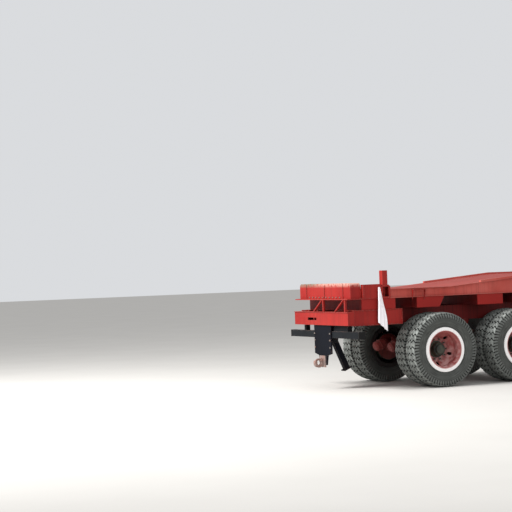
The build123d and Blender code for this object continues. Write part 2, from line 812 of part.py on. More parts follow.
# Cross bearers: folded boxes open below, with a slanted gusset at the front of the second
bearer_half_width = deck_half_width - panel_recess
with BuildPart() as bearers:
    for start, end in bearer_spans:
        middle = (rear_axle_x + (start + end) / 2, 0, rail_top_z + bearer_height / 2)
        with Locations(middle):
            Box(end - start, 2 * bearer_half_width, bearer_height)
        with Locations((middle[0], 0, middle[2] - bearer_metal)):
            Box(
                end - start - 2 * bearer_metal,
                2 * (bearer_half_width - bearer_metal),
                bearer_height,
                mode=Mode.SUBTRACT,
            )
    for side in (1, -1):
        gusset_x = rear_axle_x + bearer_spans[1][1]
        with BuildSketch(Plane.XZ.offset(-side * bearer_half_width)):
            with BuildLine():
                Polyline(
                    (gusset_x, rail_top_z),
                    (gusset_x, bearer_top_z),
                    (gusset_x + slant_gusset_length, bearer_top_z),
                    close=True,
                )
            make_face()
        extrude(amount=side * slant_gusset_metal)
write(bearers.part, "cross_bearers")

# Side rails of the deck: channels facing outward, the top rising towards the front
rise_start_x = rear_axle_x + rise_start_at
rise_end_x = rear_axle_x + rise_end_at
side_rail_rear_x = rear_axle_x + pocket_front_at
wear_start_x = rear_axle_x + wear_plate_at
wear_start_z = deck_z + deck_rise * (wear_plate_at - rise_start_at) / (rise_end_at - rise_start_at)
front_deck_z = deck_z + deck_rise
for side_name, side in sides.items():
    web_y = deck_half_width - side_rail_depth
    with BuildPart() as side_rail:
        with BuildSketch(Plane.XZ.offset(-side * web_y)):
            with BuildLine():
                Polyline(
                    (side_rail_rear_x, bearer_top_z),
                    (side_rail_rear_x, deck_z),
                    (rise_start_x, deck_z),
                    (rise_end_x, front_deck_z),
                    (frame_front_x, front_deck_z),
                    (frame_front_x, bearer_top_z),
                    close=True,
                )
            make_face()
        extrude(amount=-side * side_rail_depth)
        with BuildSketch(Plane.XZ.offset(-side * (web_y + frame_metal))):
            with BuildLine():
                Polyline(
                    (side_rail_rear_x, bearer_top_z + frame_metal),
                    (side_rail_rear_x, deck_z - frame_metal),
                    (rise_start_x, deck_z - frame_metal),
                    (rise_end_x, front_deck_z - frame_metal),
                    (frame_front_x - frame_metal, front_deck_z - frame_metal),
                    (frame_front_x - frame_metal, bearer_top_z + frame_metal),
                    close=True,
                )
            make_face()
        extrude(amount=-side * side_rail_depth, mode=Mode.SUBTRACT)
        # Wear plate along the rising top, a step above the plain flange
        with BuildSketch(Plane.XZ.offset(-side * web_y)):
            with BuildLine():
                Polyline(
                    (wear_start_x, wear_start_z - 1),
                    (wear_start_x, wear_start_z + wear_plate_metal),
                    (rise_end_x, front_deck_z + wear_plate_metal),
                    (frame_front_x, front_deck_z + wear_plate_metal),
                    (frame_front_x, front_deck_z - 1),
                    (rise_end_x, front_deck_z - 1),
                    close=True,
                )
            make_face()
        extrude(amount=-side * side_rail_depth)
    write(side_rail.part, f"side_rail_{side_name}")

# Deck plate between the side rails, folded where it rises, with holes to bolt a tank down
# and joists welded below it that stand on the bearers
deck_rear_x = rear_axle_x + pocket_front_at
tank_x = rear_axle_x + tank_bolts_at
with BuildPart() as deck:
    with BuildSketch(Plane.XZ.offset(-(deck_half_width - side_rail_depth))):
        with BuildLine():
            Polyline(
                (deck_rear_x, deck_z - deck_metal),
                (deck_rear_x, deck_z),
                (rise_start_x, deck_z),
                (rise_end_x, front_deck_z),
                (frame_front_x, front_deck_z),
                (frame_front_x, front_deck_z - deck_metal),
                (rise_end_x, front_deck_z - deck_metal),
                (rise_start_x, deck_z - deck_metal),
                close=True,
            )
        make_face()
    extrude(amount=2 * (deck_half_width - side_rail_depth))
    with Locations((tank_x, 0, deck_z)):
        with GridLocations(tank_bolt_spacing_x, tank_bolt_spacing_y, 2, 2):
            Cylinder(tank_bolt_radius, 4 * deck_metal, mode=Mode.SUBTRACT)
    for start, end in bearer_spans:
        for place in (start + joist_inset, end - joist_inset):
            if place < pocket_front_at:
                continue
            rise = min(max((place - joist_width / 2 - rise_start_at) / (rise_end_at - rise_start_at), 0), 1)
            joist_height = deck_z - deck_metal / 2 + deck_rise * rise - bearer_top_z
            with Locations((rear_axle_x + place, 0, bearer_top_z + joist_height / 2)):
                Box(joist_width, 2 * (deck_half_width - side_rail_depth), joist_height)
write(deck.part, "deck_plate")

# ---------------------------------------------------------------- tail
tail_floor_front_x = deck_rear_x
tail_floor_rear_x = rear_axle_x + tail_floor_rear_at
tail_box_rear_x = rear_axle_x + tail_box_rear_at
tail_floor_top_z = bearer_top_z + tail_floor_metal

# Floor plate of the tail, on the first bearer and out over the rear beam
with BuildPart() as tail_floor:
    with Locations(((tail_floor_front_x + tail_floor_rear_x) / 2, 0, bearer_top_z + tail_floor_metal / 2)):
        Box(tail_floor_front_x - tail_floor_rear_x, 2 * deck_half_width, tail_floor_metal)
write(tail_floor.part, "tail_floor")

# Tail box: a hollow cross box with rounded upper ends and upright ribs at its back
with BuildPart() as tail_box:
    with BuildSketch(Plane.YZ.offset(tail_box_rear_x)):
        with Locations((0, tail_floor_top_z + tail_box_height / 2)):
            outline = Rectangle(2 * tail_box_half_width, tail_box_height)
        fillet(outline.vertices().group_by(Axis.Y)[-1], tail_box_corner)
    extrude(amount=tail_box_depth)
    with BuildSketch(Plane.YZ.offset(tail_box_rear_x + beam_metal)):
        with Locations((0, tail_floor_top_z + tail_box_height / 2)):
            inside = Rectangle(2 * (tail_box_half_width - beam_metal), tail_box_height - 2 * beam_metal)
        fillet(inside.vertices().group_by(Axis.Y)[-1], tail_box_corner - beam_metal)
    extrude(amount=tail_box_depth - 2 * beam_metal, mode=Mode.SUBTRACT)
    for place in (-tail_rib_spacing, 0, tail_rib_spacing):
        rib_z = tail_floor_top_z + tail_box_height / 2 - 6
        with Locations((tail_box_rear_x - tail_rib_depth / 2, place, rib_z)):
            Box(tail_rib_depth, tail_rib_width, tail_box_height - 12)
write(tail_box.part, "tail_box")

# Braces between the rear beam and the tail floor: two slanted struts, each with a post and a panel
brace_low_z = rear_beam_top_z + lip_metal
brace_x = frame_rear_x + brace_size / 2 + 14
with BuildPart() as braces:
    for top_y in brace_tops:
        run = brace_run
        rise = bearer_top_z - brace_low_z
        with BuildSketch(Plane.YZ.offset(brace_x - brace_size / 2)):
            with BuildLine():
                Polyline(
                    (top_y + run + brace_size, brace_low_z),
                    (top_y + brace_size, bearer_top_z),
                    (top_y, bearer_top_z),
                    (top_y + run, brace_low_z),
                    close=True,
                )
            make_face()
            with Locations((top_y - brace_post_width, (brace_low_z + bearer_top_z) / 2)):
                Rectangle(brace_post_width, rise)
        extrude(amount=brace_size)
        with Locations((brace_x + brace_size / 2, top_y, (brace_low_z + bearer_top_z) / 2)):
            Box(brace_panel_metal, 2.0 * brace_post_width + 2, rise)
write(braces.part, "tail_braces")

# Stake pockets at both deck edges, with the plate block that ties them to the tail box
pocket_front_x = rear_axle_x + pocket_front_at
pocket_x = pocket_front_x - pocket_length / 2
pocket_y = deck_half_width - pocket_depth / 2
pocket_low_z = tail_floor_top_z
pocket_top_z = pocket_low_z + pocket_height
stake_x = pocket_x
stake_y = deck_half_width - stake_collar_size / 2
block_rear_x = tail_box_rear_x + tail_box_depth + pocket_block_gap
block_front_x = pocket_front_x - pocket_length
with BuildPart() as pockets:
    for side in (1, -1):
        low = pocket_low_z
        with Locations((pocket_x, side * pocket_y, (low + pocket_top_z) / 2)):
            Box(pocket_length, pocket_depth, pocket_top_z - low)
            Box(
                pocket_length - 2 * pocket_metal,
                pocket_depth - 2 * pocket_metal,
                pocket_top_z - low - 2 * pocket_metal,
                mode=Mode.SUBTRACT,
            )
        with Locations((pocket_x, side * deck_half_width, (low + pocket_top_z) / 2)):
            Box(pocket_length - 60, 4 * pocket_metal, pocket_top_z - low - 30, mode=Mode.SUBTRACT)
        with Locations((stake_x, side * stake_y, pocket_top_z)):
            Cylinder(stake_rod_radius + stake_guide_clearance, 4 * pocket_metal, mode=Mode.SUBTRACT)
    for side in (1, -1):
        block_y = side * (deck_half_width - pocket_block_depth / 2)
        block_top = pocket_low_z + pocket_block_height
        with Locations(((block_rear_x + block_front_x) / 2, block_y, (pocket_low_z + block_top) / 2)):
            Box(block_front_x - block_rear_x, pocket_block_depth, pocket_block_height)
        with Locations((block_rear_x + 22, side * deck_half_width, (pocket_low_z + block_top) / 2)):
            Box(16, 8, pocket_block_height - 20)
        hook_length = flag_stand_off - flag_hook_gap
        hook_at = (
            block_front_x - flag_hook_inset,
            side * (deck_half_width + hook_length / 2 - 2),
            pocket_top_z - flag_hook_drop,
        )
        with Locations(hook_at):
            Cylinder(flag_hook_radius, hook_length + 4, rotation=(90, 0, 0))
write(pockets.part, "stake_pockets")

# Removable stake: square tube with a cap, a collar and a guide rod, in the right-hand pocket
with BuildPart() as stake:
    with BuildSketch(Plane.XY.offset(pocket_top_z)):
        with Locations((stake_x, -stake_y)):
            RectangleRounded(stake_collar_size, stake_collar_size, 10)
    extrude(amount=stake_collar_metal)
    with BuildSketch(Plane.XY.offset(pocket_top_z + stake_collar_metal)):
        with Locations((stake_x, -stake_y)):
            RectangleRounded(stake_size, stake_size, 8)
            Rectangle(stake_size - 2 * stake_wall, stake_size - 2 * stake_wall, mode=Mode.SUBTRACT)
    extrude(amount=stake_height)
    with BuildSketch(Plane.XY.offset(pocket_low_z + pocket_metal + stake_rod_gap)):
        with Locations((stake_x, -stake_y)):
            Circle(stake_rod_radius)
    extrude(amount=pocket_height + stake_collar_metal - pocket_metal - stake_rod_gap)
write(stake.part, "stake")

# Folded brackets on the outside of the side rails
bracket_x = rear_axle_x + bracket_at
with BuildPart() as brackets:
    for side in (1, -1):
        plate_y = side * (deck_half_width + bracket_reach / 2)
        with Locations((bracket_x, plate_y, deck_z - bracket_drop - bracket_metal / 2)):
            Box(bracket_length, bracket_reach, bracket_metal)
        for along in (-0.5, 0.5):
            web_x = bracket_x + along * (bracket_length - bracket_metal)
            with BuildSketch(Plane.YZ.offset(web_x - bracket_metal / 2)):
                with BuildLine():
                    Polyline(
                        (side * deck_half_width, deck_z - bracket_drop - bracket_metal),
                        (side * (deck_half_width + bracket_reach), deck_z - bracket_drop - bracket_metal),
                        (side * deck_half_width, bearer_top_z - 40),
                        close=True,
                    )
                make_face()
            extrude(amount=bracket_metal)
write(brackets.part, "deck_brackets")

# Cloth marker tied to the pocket hook: a plain thin solid of its outer shape
with BuildPart() as flag:
    with BuildSketch(Plane.XZ.offset(deck_half_width + flag_stand_off)):
        with BuildLine():
            tie_x = block_front_x - flag_hook_inset
            tie_z = pocket_top_z - flag_hook_drop
            Polyline(
                (tie_x - 18, tie_z + 12),
                (tie_x - 36, tie_z - 560),
                (tie_x + 138, tie_z - 710),
                (tie_x + 126, tie_z - 490),
                (tie_x + 64, tie_z - 210),
                (tie_x + 16, tie_z + 12),
                close=True,
            )
        make_face()
    extrude(amount=flag_thickness)
write(flag.part, "flag")

# ---------------------------------------------------------------- rear hitch, underrun bar, prop

# ---------------------------------------------------------------- rear hitch, underrun bar, prop
bar_rear_x = rear_axle_x + bar_rear_at
bar_top_z = rear_beam_top_z - rear_beam_height - bar_drop
bar_z = bar_top_z - bar_height / 2
bar_front_x = bar_rear_x + bar_depth
rear_beam_low_z = rear_beam_top_z - rear_beam_height

# Underrun bar: a long box tube with end caps, hung from the rear beam by a wide and a narrow arm,
# with two cheek plates at its front for the prop leg
prop_x = rear_axle_x + prop_pivot_at
prop_z = rear_beam_low_z - prop_pivot_drop
cheek_y = prop_half_width + prop_cheek_gap + prop_cheek_metal / 2
with BuildPart() as bar:
    with Locations((bar_rear_x + bar_depth / 2, 0, bar_z)):
        Box(bar_depth, 2 * bar_half_length, bar_height)
        Box(
            bar_depth - 2 * bar_wall,
            2 * (bar_half_length - bar_wall),
            bar_height - 2 * bar_wall,
            mode=Mode.SUBTRACT,
        )
    for side in (1, -1):
        with Locations((bar_rear_x + bar_depth / 2, side * (bar_half_length - 6), bar_z)):
            Box(bar_depth + 6, 12, bar_height + 6)
    for span in (bar_arm_near, bar_arm_far):
        arm_x = bar_front_x - bar_arm_depth / 2
        with Locations((arm_x, (span[0] + span[1]) / 2, (bar_top_z + rail_bottom_z) / 2)):
            Box(bar_arm_depth, span[1] - span[0], rail_bottom_z - bar_top_z)
    for side in (1, -1):
        with BuildSketch(Plane.XZ.offset(-side * cheek_y - prop_cheek_metal / 2)):
            with BuildLine():
                Polyline(
                    (bar_front_x - 1, bar_top_z - 4),
                    (bar_front_x + 60, bar_top_z - 4),
                    (prop_x + prop_cheek_radius, prop_z + 20),
                    (prop_x + prop_cheek_radius - 14, prop_z - prop_cheek_radius),
                    (prop_x - prop_cheek_radius, prop_z - prop_cheek_radius),
                    (bar_front_x - 1, bar_top_z - bar_height + 4),
                    close=True,
                )
            make_face()
            with Locations((prop_x, prop_z)):
                Circle(prop_pin_radius + running_clearance, mode=Mode.SUBTRACT)
        extrude(amount=prop_cheek_metal)
write(bar.part, "underrun_bar")

# Hitch plate: hangs behind the bar from the rear beam and narrows to a tongue for the hook
hitch_rear_x = bar_rear_x - hitch_plate_metal
tongue_low_z = rear_beam_low_z - hitch_tongue_drop
shoulder_z = rear_beam_low_z - hitch_plate_drop
with BuildPart() as hitch:
    with BuildSketch(Plane.YZ.offset(hitch_rear_x)):
        with BuildLine():
            Polyline(
                (-hitch_plate_half_width, rear_beam_low_z),
                (hitch_plate_half_width, rear_beam_low_z),
                (hitch_plate_half_width, shoulder_z),
                (hitch_tongue_half_width, shoulder_z - 30),
                (hitch_tip_half_width, tongue_low_z),
                (-hitch_tip_half_width, tongue_low_z),
                (-hitch_tongue_half_width, shoulder_z - 30),
                (-hitch_plate_half_width, shoulder_z),
                close=True,
            )
        make_face()
    extrude(amount=hitch_plate_metal)
    with Locations((bar_rear_x + bar_depth / 2 - 1, 0, (bar_top_z + rear_beam_low_z) / 2)):
        Box(bar_depth + 2, 2 * hitch_plate_half_width - 20, rear_beam_low_z - bar_top_z)
    for place in (-0.45, 0.45):
        rib_y = place * 2 * hitch_tongue_half_width
        with BuildSketch(Plane.XZ.offset(-rib_y - 8)):
            with BuildLine():
                Polyline(
                    (bar_rear_x - 1, bar_top_z - bar_height),
                    (bar_front_x, bar_top_z - bar_height),
                    (bar_rear_x - 1, shoulder_z - 20),
                    close=True,
                )
            make_face()
        extrude(amount=16)
write(hitch.part, "hitch_plate")

# Towing hook on the tongue: a forged horn round the throat, with ears for the latch
hook_x = hitch_rear_x - hook_reach
hook_z = rear_beam_low_z - hook_drop
hook_middle_radius = (hook_throat_radius + hook_outer_radius) / 2
latch_pin = (
    hook_x + hook_middle_radius * cos(radians(hook_mouth[0] - 16)),
    hook_z + hook_middle_radius * sin(radians(hook_mouth[0] - 16)),
)


def mouth_wedge(first, last, reach):
    """Fan from the throat centre that spans two angles, measured up from the forward direction."""
    rim = [
        (hook_x + reach * cos(radians(a)), hook_z + reach * sin(radians(a)))
        for a in (first, (first + last) / 2, last)
    ]
    Polyline((hook_x, hook_z), rim[0], rim[1], rim[2], close=True)


with BuildPart() as hook:
    with BuildSketch(Plane.XZ.offset(-hook_half_width)):
        with Locations((hook_x, hook_z)):
            Circle(hook_outer_radius)
        with Locations(((hook_x + hitch_rear_x) / 2 + 20, hook_z + 20)):
            Rectangle(hitch_rear_x - hook_x - 40, 150)
        with Locations(latch_pin):
            Circle(latch_lug_radius + 3)
        with Locations((hook_x, hook_z)):
            Circle(hook_throat_radius, mode=Mode.SUBTRACT)
        with BuildLine():
            mouth_wedge(hook_mouth[0], hook_mouth[1], 1.6 * hook_outer_radius)
        make_face(mode=Mode.SUBTRACT)
        with Locations(latch_pin):
            Circle(latch_lug_radius + 3)
    extrude(amount=2 * hook_half_width)
    with Locations((hitch_rear_x - hook_back_metal / 2, 0, hook_z + 20)):
        Box(hook_back_metal, 2 * hitch_tip_half_width - 30, 190)
    # Slot between the ears for the latch, and the hole for its pin
    with BuildSketch(Plane.XZ.offset(-latch_half_width - latch_gap)):
        with Locations(latch_pin):
            Circle(latch_lug_radius + 6)
    extrude(amount=2 * (latch_half_width + latch_gap), mode=Mode.SUBTRACT)
    latch_slot_x = hitch_rear_x - hook_back_metal - latch_slot_length / 2
    with Locations((latch_slot_x, 0, latch_pin[1] + latch_slot_height / 2)):
        Box(latch_slot_length, 2 * (latch_half_width + latch_gap), latch_slot_height, mode=Mode.SUBTRACT)
    with BuildSketch(Plane.XZ.offset(-hook_half_width)):
        with Locations(latch_pin):
            Circle(latch_pin_radius + running_clearance)
    extrude(amount=2 * hook_half_width, mode=Mode.SUBTRACT)
write(hook.part, "towing_hook")

# Latch that closes the mouth of the hook, turning on its own pin
with BuildPart() as latch:
    with BuildSketch(Plane.XZ.offset(-latch_half_width)):
        with BuildLine():
            mouth_wedge(hook_mouth[0] - 8, hook_mouth[1] - 2, 1.6 * hook_outer_radius)
        make_face()
        with Locations((hook_x, hook_z)):
            Circle(hook_outer_radius - 6, mode=Mode.INTERSECT)
        with Locations((hook_x, hook_z)):
            Circle(hook_throat_radius + 4, mode=Mode.SUBTRACT)
        with Locations(latch_pin):
            Circle(latch_lug_radius)
    extrude(amount=2 * latch_half_width)
    with BuildSketch(Plane.XZ.offset(-hook_half_width - 5)):
        with Locations(latch_pin):
            Circle(latch_pin_radius)
    extrude(amount=2 * hook_half_width + 10)
write(latch.part, "hook_latch")

# Prop leg under the tail, on a pin between the cheek plates of the bar
prop_axis = (sin(radians(prop_lean)), 0, -cos(radians(prop_lean)))
leg_plane = Plane(origin=(prop_x, 0, prop_z), x_dir=(0, 1, 0), z_dir=prop_axis)
with BuildPart() as prop:
    with BuildSketch(Plane.XZ.offset(-prop_half_width)):
        with Locations((prop_x, prop_z)):
            Circle(prop_size / 2)
    extrude(amount=2 * prop_half_width)
    with BuildSketch(leg_plane):
        Rectangle(2 * prop_half_width, prop_size)
    extrude(amount=prop_length - prop_foot_metal)
    with BuildSketch(leg_plane.offset(prop_length - prop_foot_metal)):
        RectangleRounded(prop_foot_size, prop_foot_size, 16)
    extrude(amount=prop_foot_metal)
    with BuildSketch(Plane.XZ.offset(-cheek_y - prop_cheek_metal)):
        with Locations((prop_x, prop_z)):
            Circle(prop_pin_radius)
    extrude(amount=2 * (cheek_y + prop_cheek_metal))
write(prop.part, "prop_leg")

# ---------------------------------------------------------------- front beam, drawbar, eye, jack
front_beam_front_x = frame_front_x + front_beam_depth
front_beam_low_z = rail_bottom_z
with BuildPart() as front_beam:
    with Locations((frame_front_x + front_beam_depth / 2, 0, (front_beam_low_z + bearer_top_z) / 2)):
        Box(front_beam_depth, 2 * rear_beam_half_width, bearer_top_z - front_beam_low_z)
        Box(
            front_beam_depth - 2 * beam_metal,
            2 * (rear_beam_half_width - beam_metal),
            bearer_top_z - front_beam_low_z - 2 * beam_metal,
            mode=Mode.SUBTRACT,
        )
    with Locations((frame_front_x + front_beam_depth / 2, 0, bearer_top_z + lip_metal / 2)):
        Box(front_beam_depth, 2 * rear_beam_half_width, lip_metal)
write(front_beam.part, "front_cross_beam")

head_rear_x = rear_axle_x + drawbar_head_at
head_front_x = head_rear_x + drawbar_head_length
drawbar_end_y = drawbar_head_half_width - drawbar_width / 2
drawbar_start_y = rail_outer_y - drawbar_width / 2
drawbar_start_z = rail_bottom_z + drawbar_start_rise
run_x = head_rear_x - front_beam_front_x

# Two drawbar beams, converging and falling from the front beam to the head
for side_name, side in sides.items():
    start = Vector(front_beam_front_x, side * drawbar_start_y, drawbar_start_z)
    finish = Vector(head_rear_x, side * drawbar_end_y, coupling_height)
    along = (finish - start).normalized()
    across = Vector(0, 0, 1).cross(along).normalized()
    with BuildPart() as drawbar:
        with BuildSketch(Plane(origin=start - along * drawbar_height, x_dir=across, z_dir=along)):
            RectangleRounded(drawbar_width, drawbar_height, 8)
        extrude(amount=(finish - start).length + 2 * drawbar_height)
        split(bisect_by=Plane.YZ.offset(front_beam_front_x), keep=Keep.TOP)
        split(bisect_by=Plane.YZ.offset(head_rear_x), keep=Keep.BOTTOM)
    write(drawbar.part, f"drawbar_beam_{side_name}")

# Tie tube between the two beams
tie_x = rear_axle_x + tie_at
tie_share = (tie_x - front_beam_front_x) / run_x
tie_z = drawbar_start_z + tie_share * (coupling_height - drawbar_start_z)
beam_skew = cos(atan2(drawbar_start_y - drawbar_end_y, run_x))
tie_centre_y = drawbar_start_y + tie_share * (drawbar_end_y - drawbar_start_y)
tie_half_length = tie_centre_y - drawbar_width / 2 / beam_skew
tie_trim = tie_radius * (drawbar_start_y - drawbar_end_y) / run_x
with BuildPart() as tie:
    with BuildSketch(Plane.XZ.offset(-tie_half_length + tie_trim)):
        with Locations((tie_x, tie_z)):
            Circle(tie_radius)
    extrude(amount=2 * (tie_half_length - tie_trim))
write(tie.part, "drawbar_tie")

# Drawbar head: box casting that takes both beams, with a bolting face for the eye
with BuildPart() as head:
    with Locations((head_rear_x + drawbar_head_length / 2, 0, coupling_height)):
        Box(drawbar_head_length, 2 * drawbar_head_half_width, drawbar_head_height)
    chamfer(head.edges().filter_by(Axis.X), 16)
write(head.part, "drawbar_head")

# Tow eye: flange, shank and ring with an upright bore
eye_x = rear_axle_x + eye_centre_at
with BuildPart() as eye:
    with BuildSketch(Plane.YZ.offset(head_front_x)):
        with Locations((0, coupling_height)):
            RectangleRounded(2 * eye_flange_half_width, 2 * eye_flange_half_height, 18)
            with GridLocations(eye_bolt_spacing_y, eye_bolt_spacing_z, 2, 2):
                Circle(eye_bolt_radius, mode=Mode.SUBTRACT)
    extrude(amount=eye_flange_metal)
    with BuildSketch(Plane.XY.offset(coupling_height - eye_half_height)):
        with Locations(((head_front_x + eye_x) / 2, 0)):
            Rectangle(eye_x - head_front_x, 1.3 * eye_outer_radius)
        with Locations((eye_x, 0)):
            Circle(eye_outer_radius)
            Circle(eye_bore_radius, mode=Mode.SUBTRACT)
    extrude(amount=2 * eye_half_height)
    rims = eye.edges().filter_by(GeomType.CIRCLE).filter_by(lambda e: abs(e.radius - eye_outer_radius) < 0.1)
    fillet(rims, 12)
write(eye.part, "tow_eye")

# Bolts of the frame: tail box, hitch plate and tow eye, heads and shanks
with BuildPart() as bolts:
    with BuildSketch(Plane.YZ.offset(tail_box_rear_x)):
        with Locations((0, tail_floor_top_z + tail_bolt_rise)):
            with GridLocations(tail_bolt_spacing, 1, tail_bolt_count, 1):
                RegularPolygon(tail_bolt_radius, 6)
    extrude(amount=-tail_bolt_height)
    with BuildSketch(Plane.YZ.offset(hitch_rear_x)):
        for drop in hitch_bolt_rows:
            for side in (1, -1):
                with Locations((side * (hitch_plate_half_width - hitch_bolt_inset), rear_beam_low_z - drop)):
                    RegularPolygon(hitch_bolt_radius, 6)
    extrude(amount=-hitch_bolt_height)
    with BuildSketch(Plane.YZ.offset(head_front_x + eye_flange_metal)):
        with Locations((0, coupling_height)):
            with GridLocations(eye_bolt_spacing_y, eye_bolt_spacing_z, 2, 2):
                RegularPolygon(1.6 * eye_bolt_radius, 6)
    extrude(amount=eye_bolt_head)
    with BuildSketch(Plane.YZ.offset(head_front_x)):
        with Locations((0, coupling_height)):
            with GridLocations(eye_bolt_spacing_y, eye_bolt_spacing_z, 2, 2):
                Circle(eye_bolt_radius)
    extrude(amount=eye_flange_metal)
write(bolts.part, "frame_bolts")

# Jack on the left drawbar beam: outer tube with a bracket and a gear head
jack_x = rear_axle_x + jack_at
jack_share = (jack_x - front_beam_front_x) / run_x
beam_here_y = drawbar_start_y + jack_share * (drawbar_end_y - drawbar_start_y)
beam_here_z = drawbar_start_z + jack_share * (coupling_height - drawbar_start_z)
beam_face_y = beam_here_y + drawbar_width / 2 / beam_skew
jack_y = beam_face_y + jack_side_gap + jack_tube_radius
with BuildPart() as jack_tube:
    with BuildSketch(Plane.XY.offset(jack_tube_bottom)):
        with Locations((jack_x, jack_y)):
            Circle(jack_tube_radius)
            Circle(jack_tube_radius - jack_tube_wall, mode=Mode.SUBTRACT)
    extrude(amount=jack_tube_top - jack_tube_bottom)
    with BuildSketch(Plane.XY.offset(beam_here_z - jack_bracket_height / 2)):
        with BuildLine():
            half = jack_bracket_length / 2
            taper = half * (drawbar_start_y - drawbar_end_y) / run_x
            Polyline(
                (jack_x - half, beam_face_y + taper),
                (jack_x + half, beam_face_y - taper),
                (jack_x + half, jack_y - 20),
                (jack_x - half, jack_y - 20),
                close=True,
            )
        make_face()
        with Locations((jack_x, jack_y)):
            Circle(jack_tube_radius - jack_tube_wall, mode=Mode.SUBTRACT)
    extrude(amount=jack_bracket_height)
    with Locations((jack_x, jack_y, jack_tube_top + jack_head_height / 2)):
        Box(2 * jack_head_half_width, 2 * jack_head_half_width, jack_head_height)
    fillet(jack_tube.edges().filter_by(Axis.Z).group_by(Axis.Z)[-1], 10)
    crank_z = jack_tube_top + jack_head_height / 2
    with BuildSketch(Plane.XZ.offset(-jack_y - jack_head_half_width)):
        with Locations((jack_x, crank_z)):
            Circle(crank_shaft_radius + running_clearance)
    extrude(amount=jack_head_half_width, mode=Mode.SUBTRACT)
write(jack_tube.part, "jack_tube")

# Jack leg: inner tube and foot plate, standing on the ground
jack_leg_radius = jack_tube_radius - jack_tube_wall - running_clearance
with BuildPart() as jack_leg:
    with BuildSketch(Plane.XY.offset(jack_foot_metal)):
        with Locations((jack_x, jack_y)):
            Circle(jack_leg_radius)
            Circle(jack_leg_radius - jack_leg_wall, mode=Mode.SUBTRACT)
    extrude(amount=jack_tube_top - jack_travel - jack_top_gap - jack_foot_metal)
    with BuildSketch(Plane.XY):
        with Locations((jack_x, jack_y)):
            RectangleRounded(jack_foot_size, jack_foot_size, 20)
    extrude(amount=jack_foot_metal)
write(jack_leg.part, "jack_leg")

# Jack crank: shaft in the gear head, flat arm, round grip
shaft_start_y = jack_y + 10
arm_y = jack_y + jack_head_half_width + crank_stub
with BuildPart() as crank:
    with BuildSketch(Plane.XZ.offset(-shaft_start_y)):
        with Locations((jack_x, crank_z)):
            Circle(crank_shaft_radius)
    extrude(amount=-(arm_y - shaft_start_y))
    with BuildSketch(Plane.XZ.offset(-arm_y)):
        with Locations((jack_x, crank_z - crank_arm_length / 2)):
            SlotCenterToCenter(crank_arm_length, crank_arm_width, rotation=90)
    extrude(amount=-crank_arm_metal)
    with BuildSketch(Plane.XZ.offset(-arm_y - crank_arm_metal)):
        with Locations((jack_x, crank_z - crank_arm_length)):
            Circle(crank_grip_radius)
    extrude(amount=-crank_grip_length)
    fillet(crank.edges().filter_by(GeomType.CIRCLE).group_by(Axis.Y)[-1], 6)
write(crank.part, "jack_crank")
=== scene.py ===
"""Running gear of a heavy grain cart, finished around its CAD frame. Metres, +X to the drawbar."""

import math
import random

import bmesh
import bpy
from mathutils import Matrix, Vector


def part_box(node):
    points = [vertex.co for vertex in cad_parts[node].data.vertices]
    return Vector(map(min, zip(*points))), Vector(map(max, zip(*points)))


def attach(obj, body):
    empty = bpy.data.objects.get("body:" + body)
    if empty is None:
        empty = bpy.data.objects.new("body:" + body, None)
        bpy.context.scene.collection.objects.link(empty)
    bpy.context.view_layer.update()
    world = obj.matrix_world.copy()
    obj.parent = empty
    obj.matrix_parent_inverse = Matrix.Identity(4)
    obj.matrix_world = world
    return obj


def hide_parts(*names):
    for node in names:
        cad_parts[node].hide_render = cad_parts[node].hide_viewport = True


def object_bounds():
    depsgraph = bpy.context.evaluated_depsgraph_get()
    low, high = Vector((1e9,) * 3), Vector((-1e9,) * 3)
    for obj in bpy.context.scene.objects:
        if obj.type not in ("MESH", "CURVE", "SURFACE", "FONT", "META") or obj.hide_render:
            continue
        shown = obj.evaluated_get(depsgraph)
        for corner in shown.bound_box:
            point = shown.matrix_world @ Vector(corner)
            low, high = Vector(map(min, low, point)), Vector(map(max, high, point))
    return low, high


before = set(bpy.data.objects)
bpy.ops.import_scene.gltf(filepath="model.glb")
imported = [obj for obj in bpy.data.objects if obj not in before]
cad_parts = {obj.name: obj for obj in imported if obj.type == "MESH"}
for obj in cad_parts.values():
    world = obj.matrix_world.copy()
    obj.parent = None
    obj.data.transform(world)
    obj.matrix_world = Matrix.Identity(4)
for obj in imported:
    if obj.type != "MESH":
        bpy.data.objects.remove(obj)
packed_low, packed_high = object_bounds()

# ---------------------------------------------------------------- main frame and hangers
# The two deep channel rails, end beams, cross bearers and hangers: hot-rolled steel, arc welded,
# then sprayed with one coat of red chassis enamel. Under the deck the enamel is drawn darker as
# painted shade and gathers road dirt, and the wheels throw dust on everything low down.


def linear(code):
    """The linear colour of an sRGB hex code."""
    parts = [int(code[i : i + 2], 16) / 255 for i in (1, 3, 5)]
    return [p / 12.92 if p <= 0.04045 else ((p + 0.055) / 1.055) ** 2.4 for p in parts] + [1.0]


def add(tree, kind, links=None, **settings):
    """Adds one node. Settings are its own; links are its inputs, each a value, a socket or a node."""
    node = tree.nodes.new(kind)
    for name, value in settings.items():
        setattr(node, name, value)
    for name, value in (links or {}).items():
        found = [s for s in node.inputs if s.name == name and s.enabled]
        socket = found[0] if found else node.inputs[name]
        if isinstance(value, bpy.types.Node):
            value = next(s for s in value.outputs if s.enabled)
        if isinstance(value, bpy.types.NodeSocket):
            tree.links.new(value, socket)
        else:
            socket.default_value = value
    return node


def new_material(name):
    """An empty node material, with its tree and its shader."""
    material = bpy.data.materials.new(name)
    material.use_nodes = True
    return material, material.node_tree, material.node_tree.nodes["Principled BSDF"]


def dress(names, material):
    """Gives these CAD nodes one material."""
    for name in names:
        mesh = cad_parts[name].data
        mesh.materials.clear()
        mesh.materials.append(material)


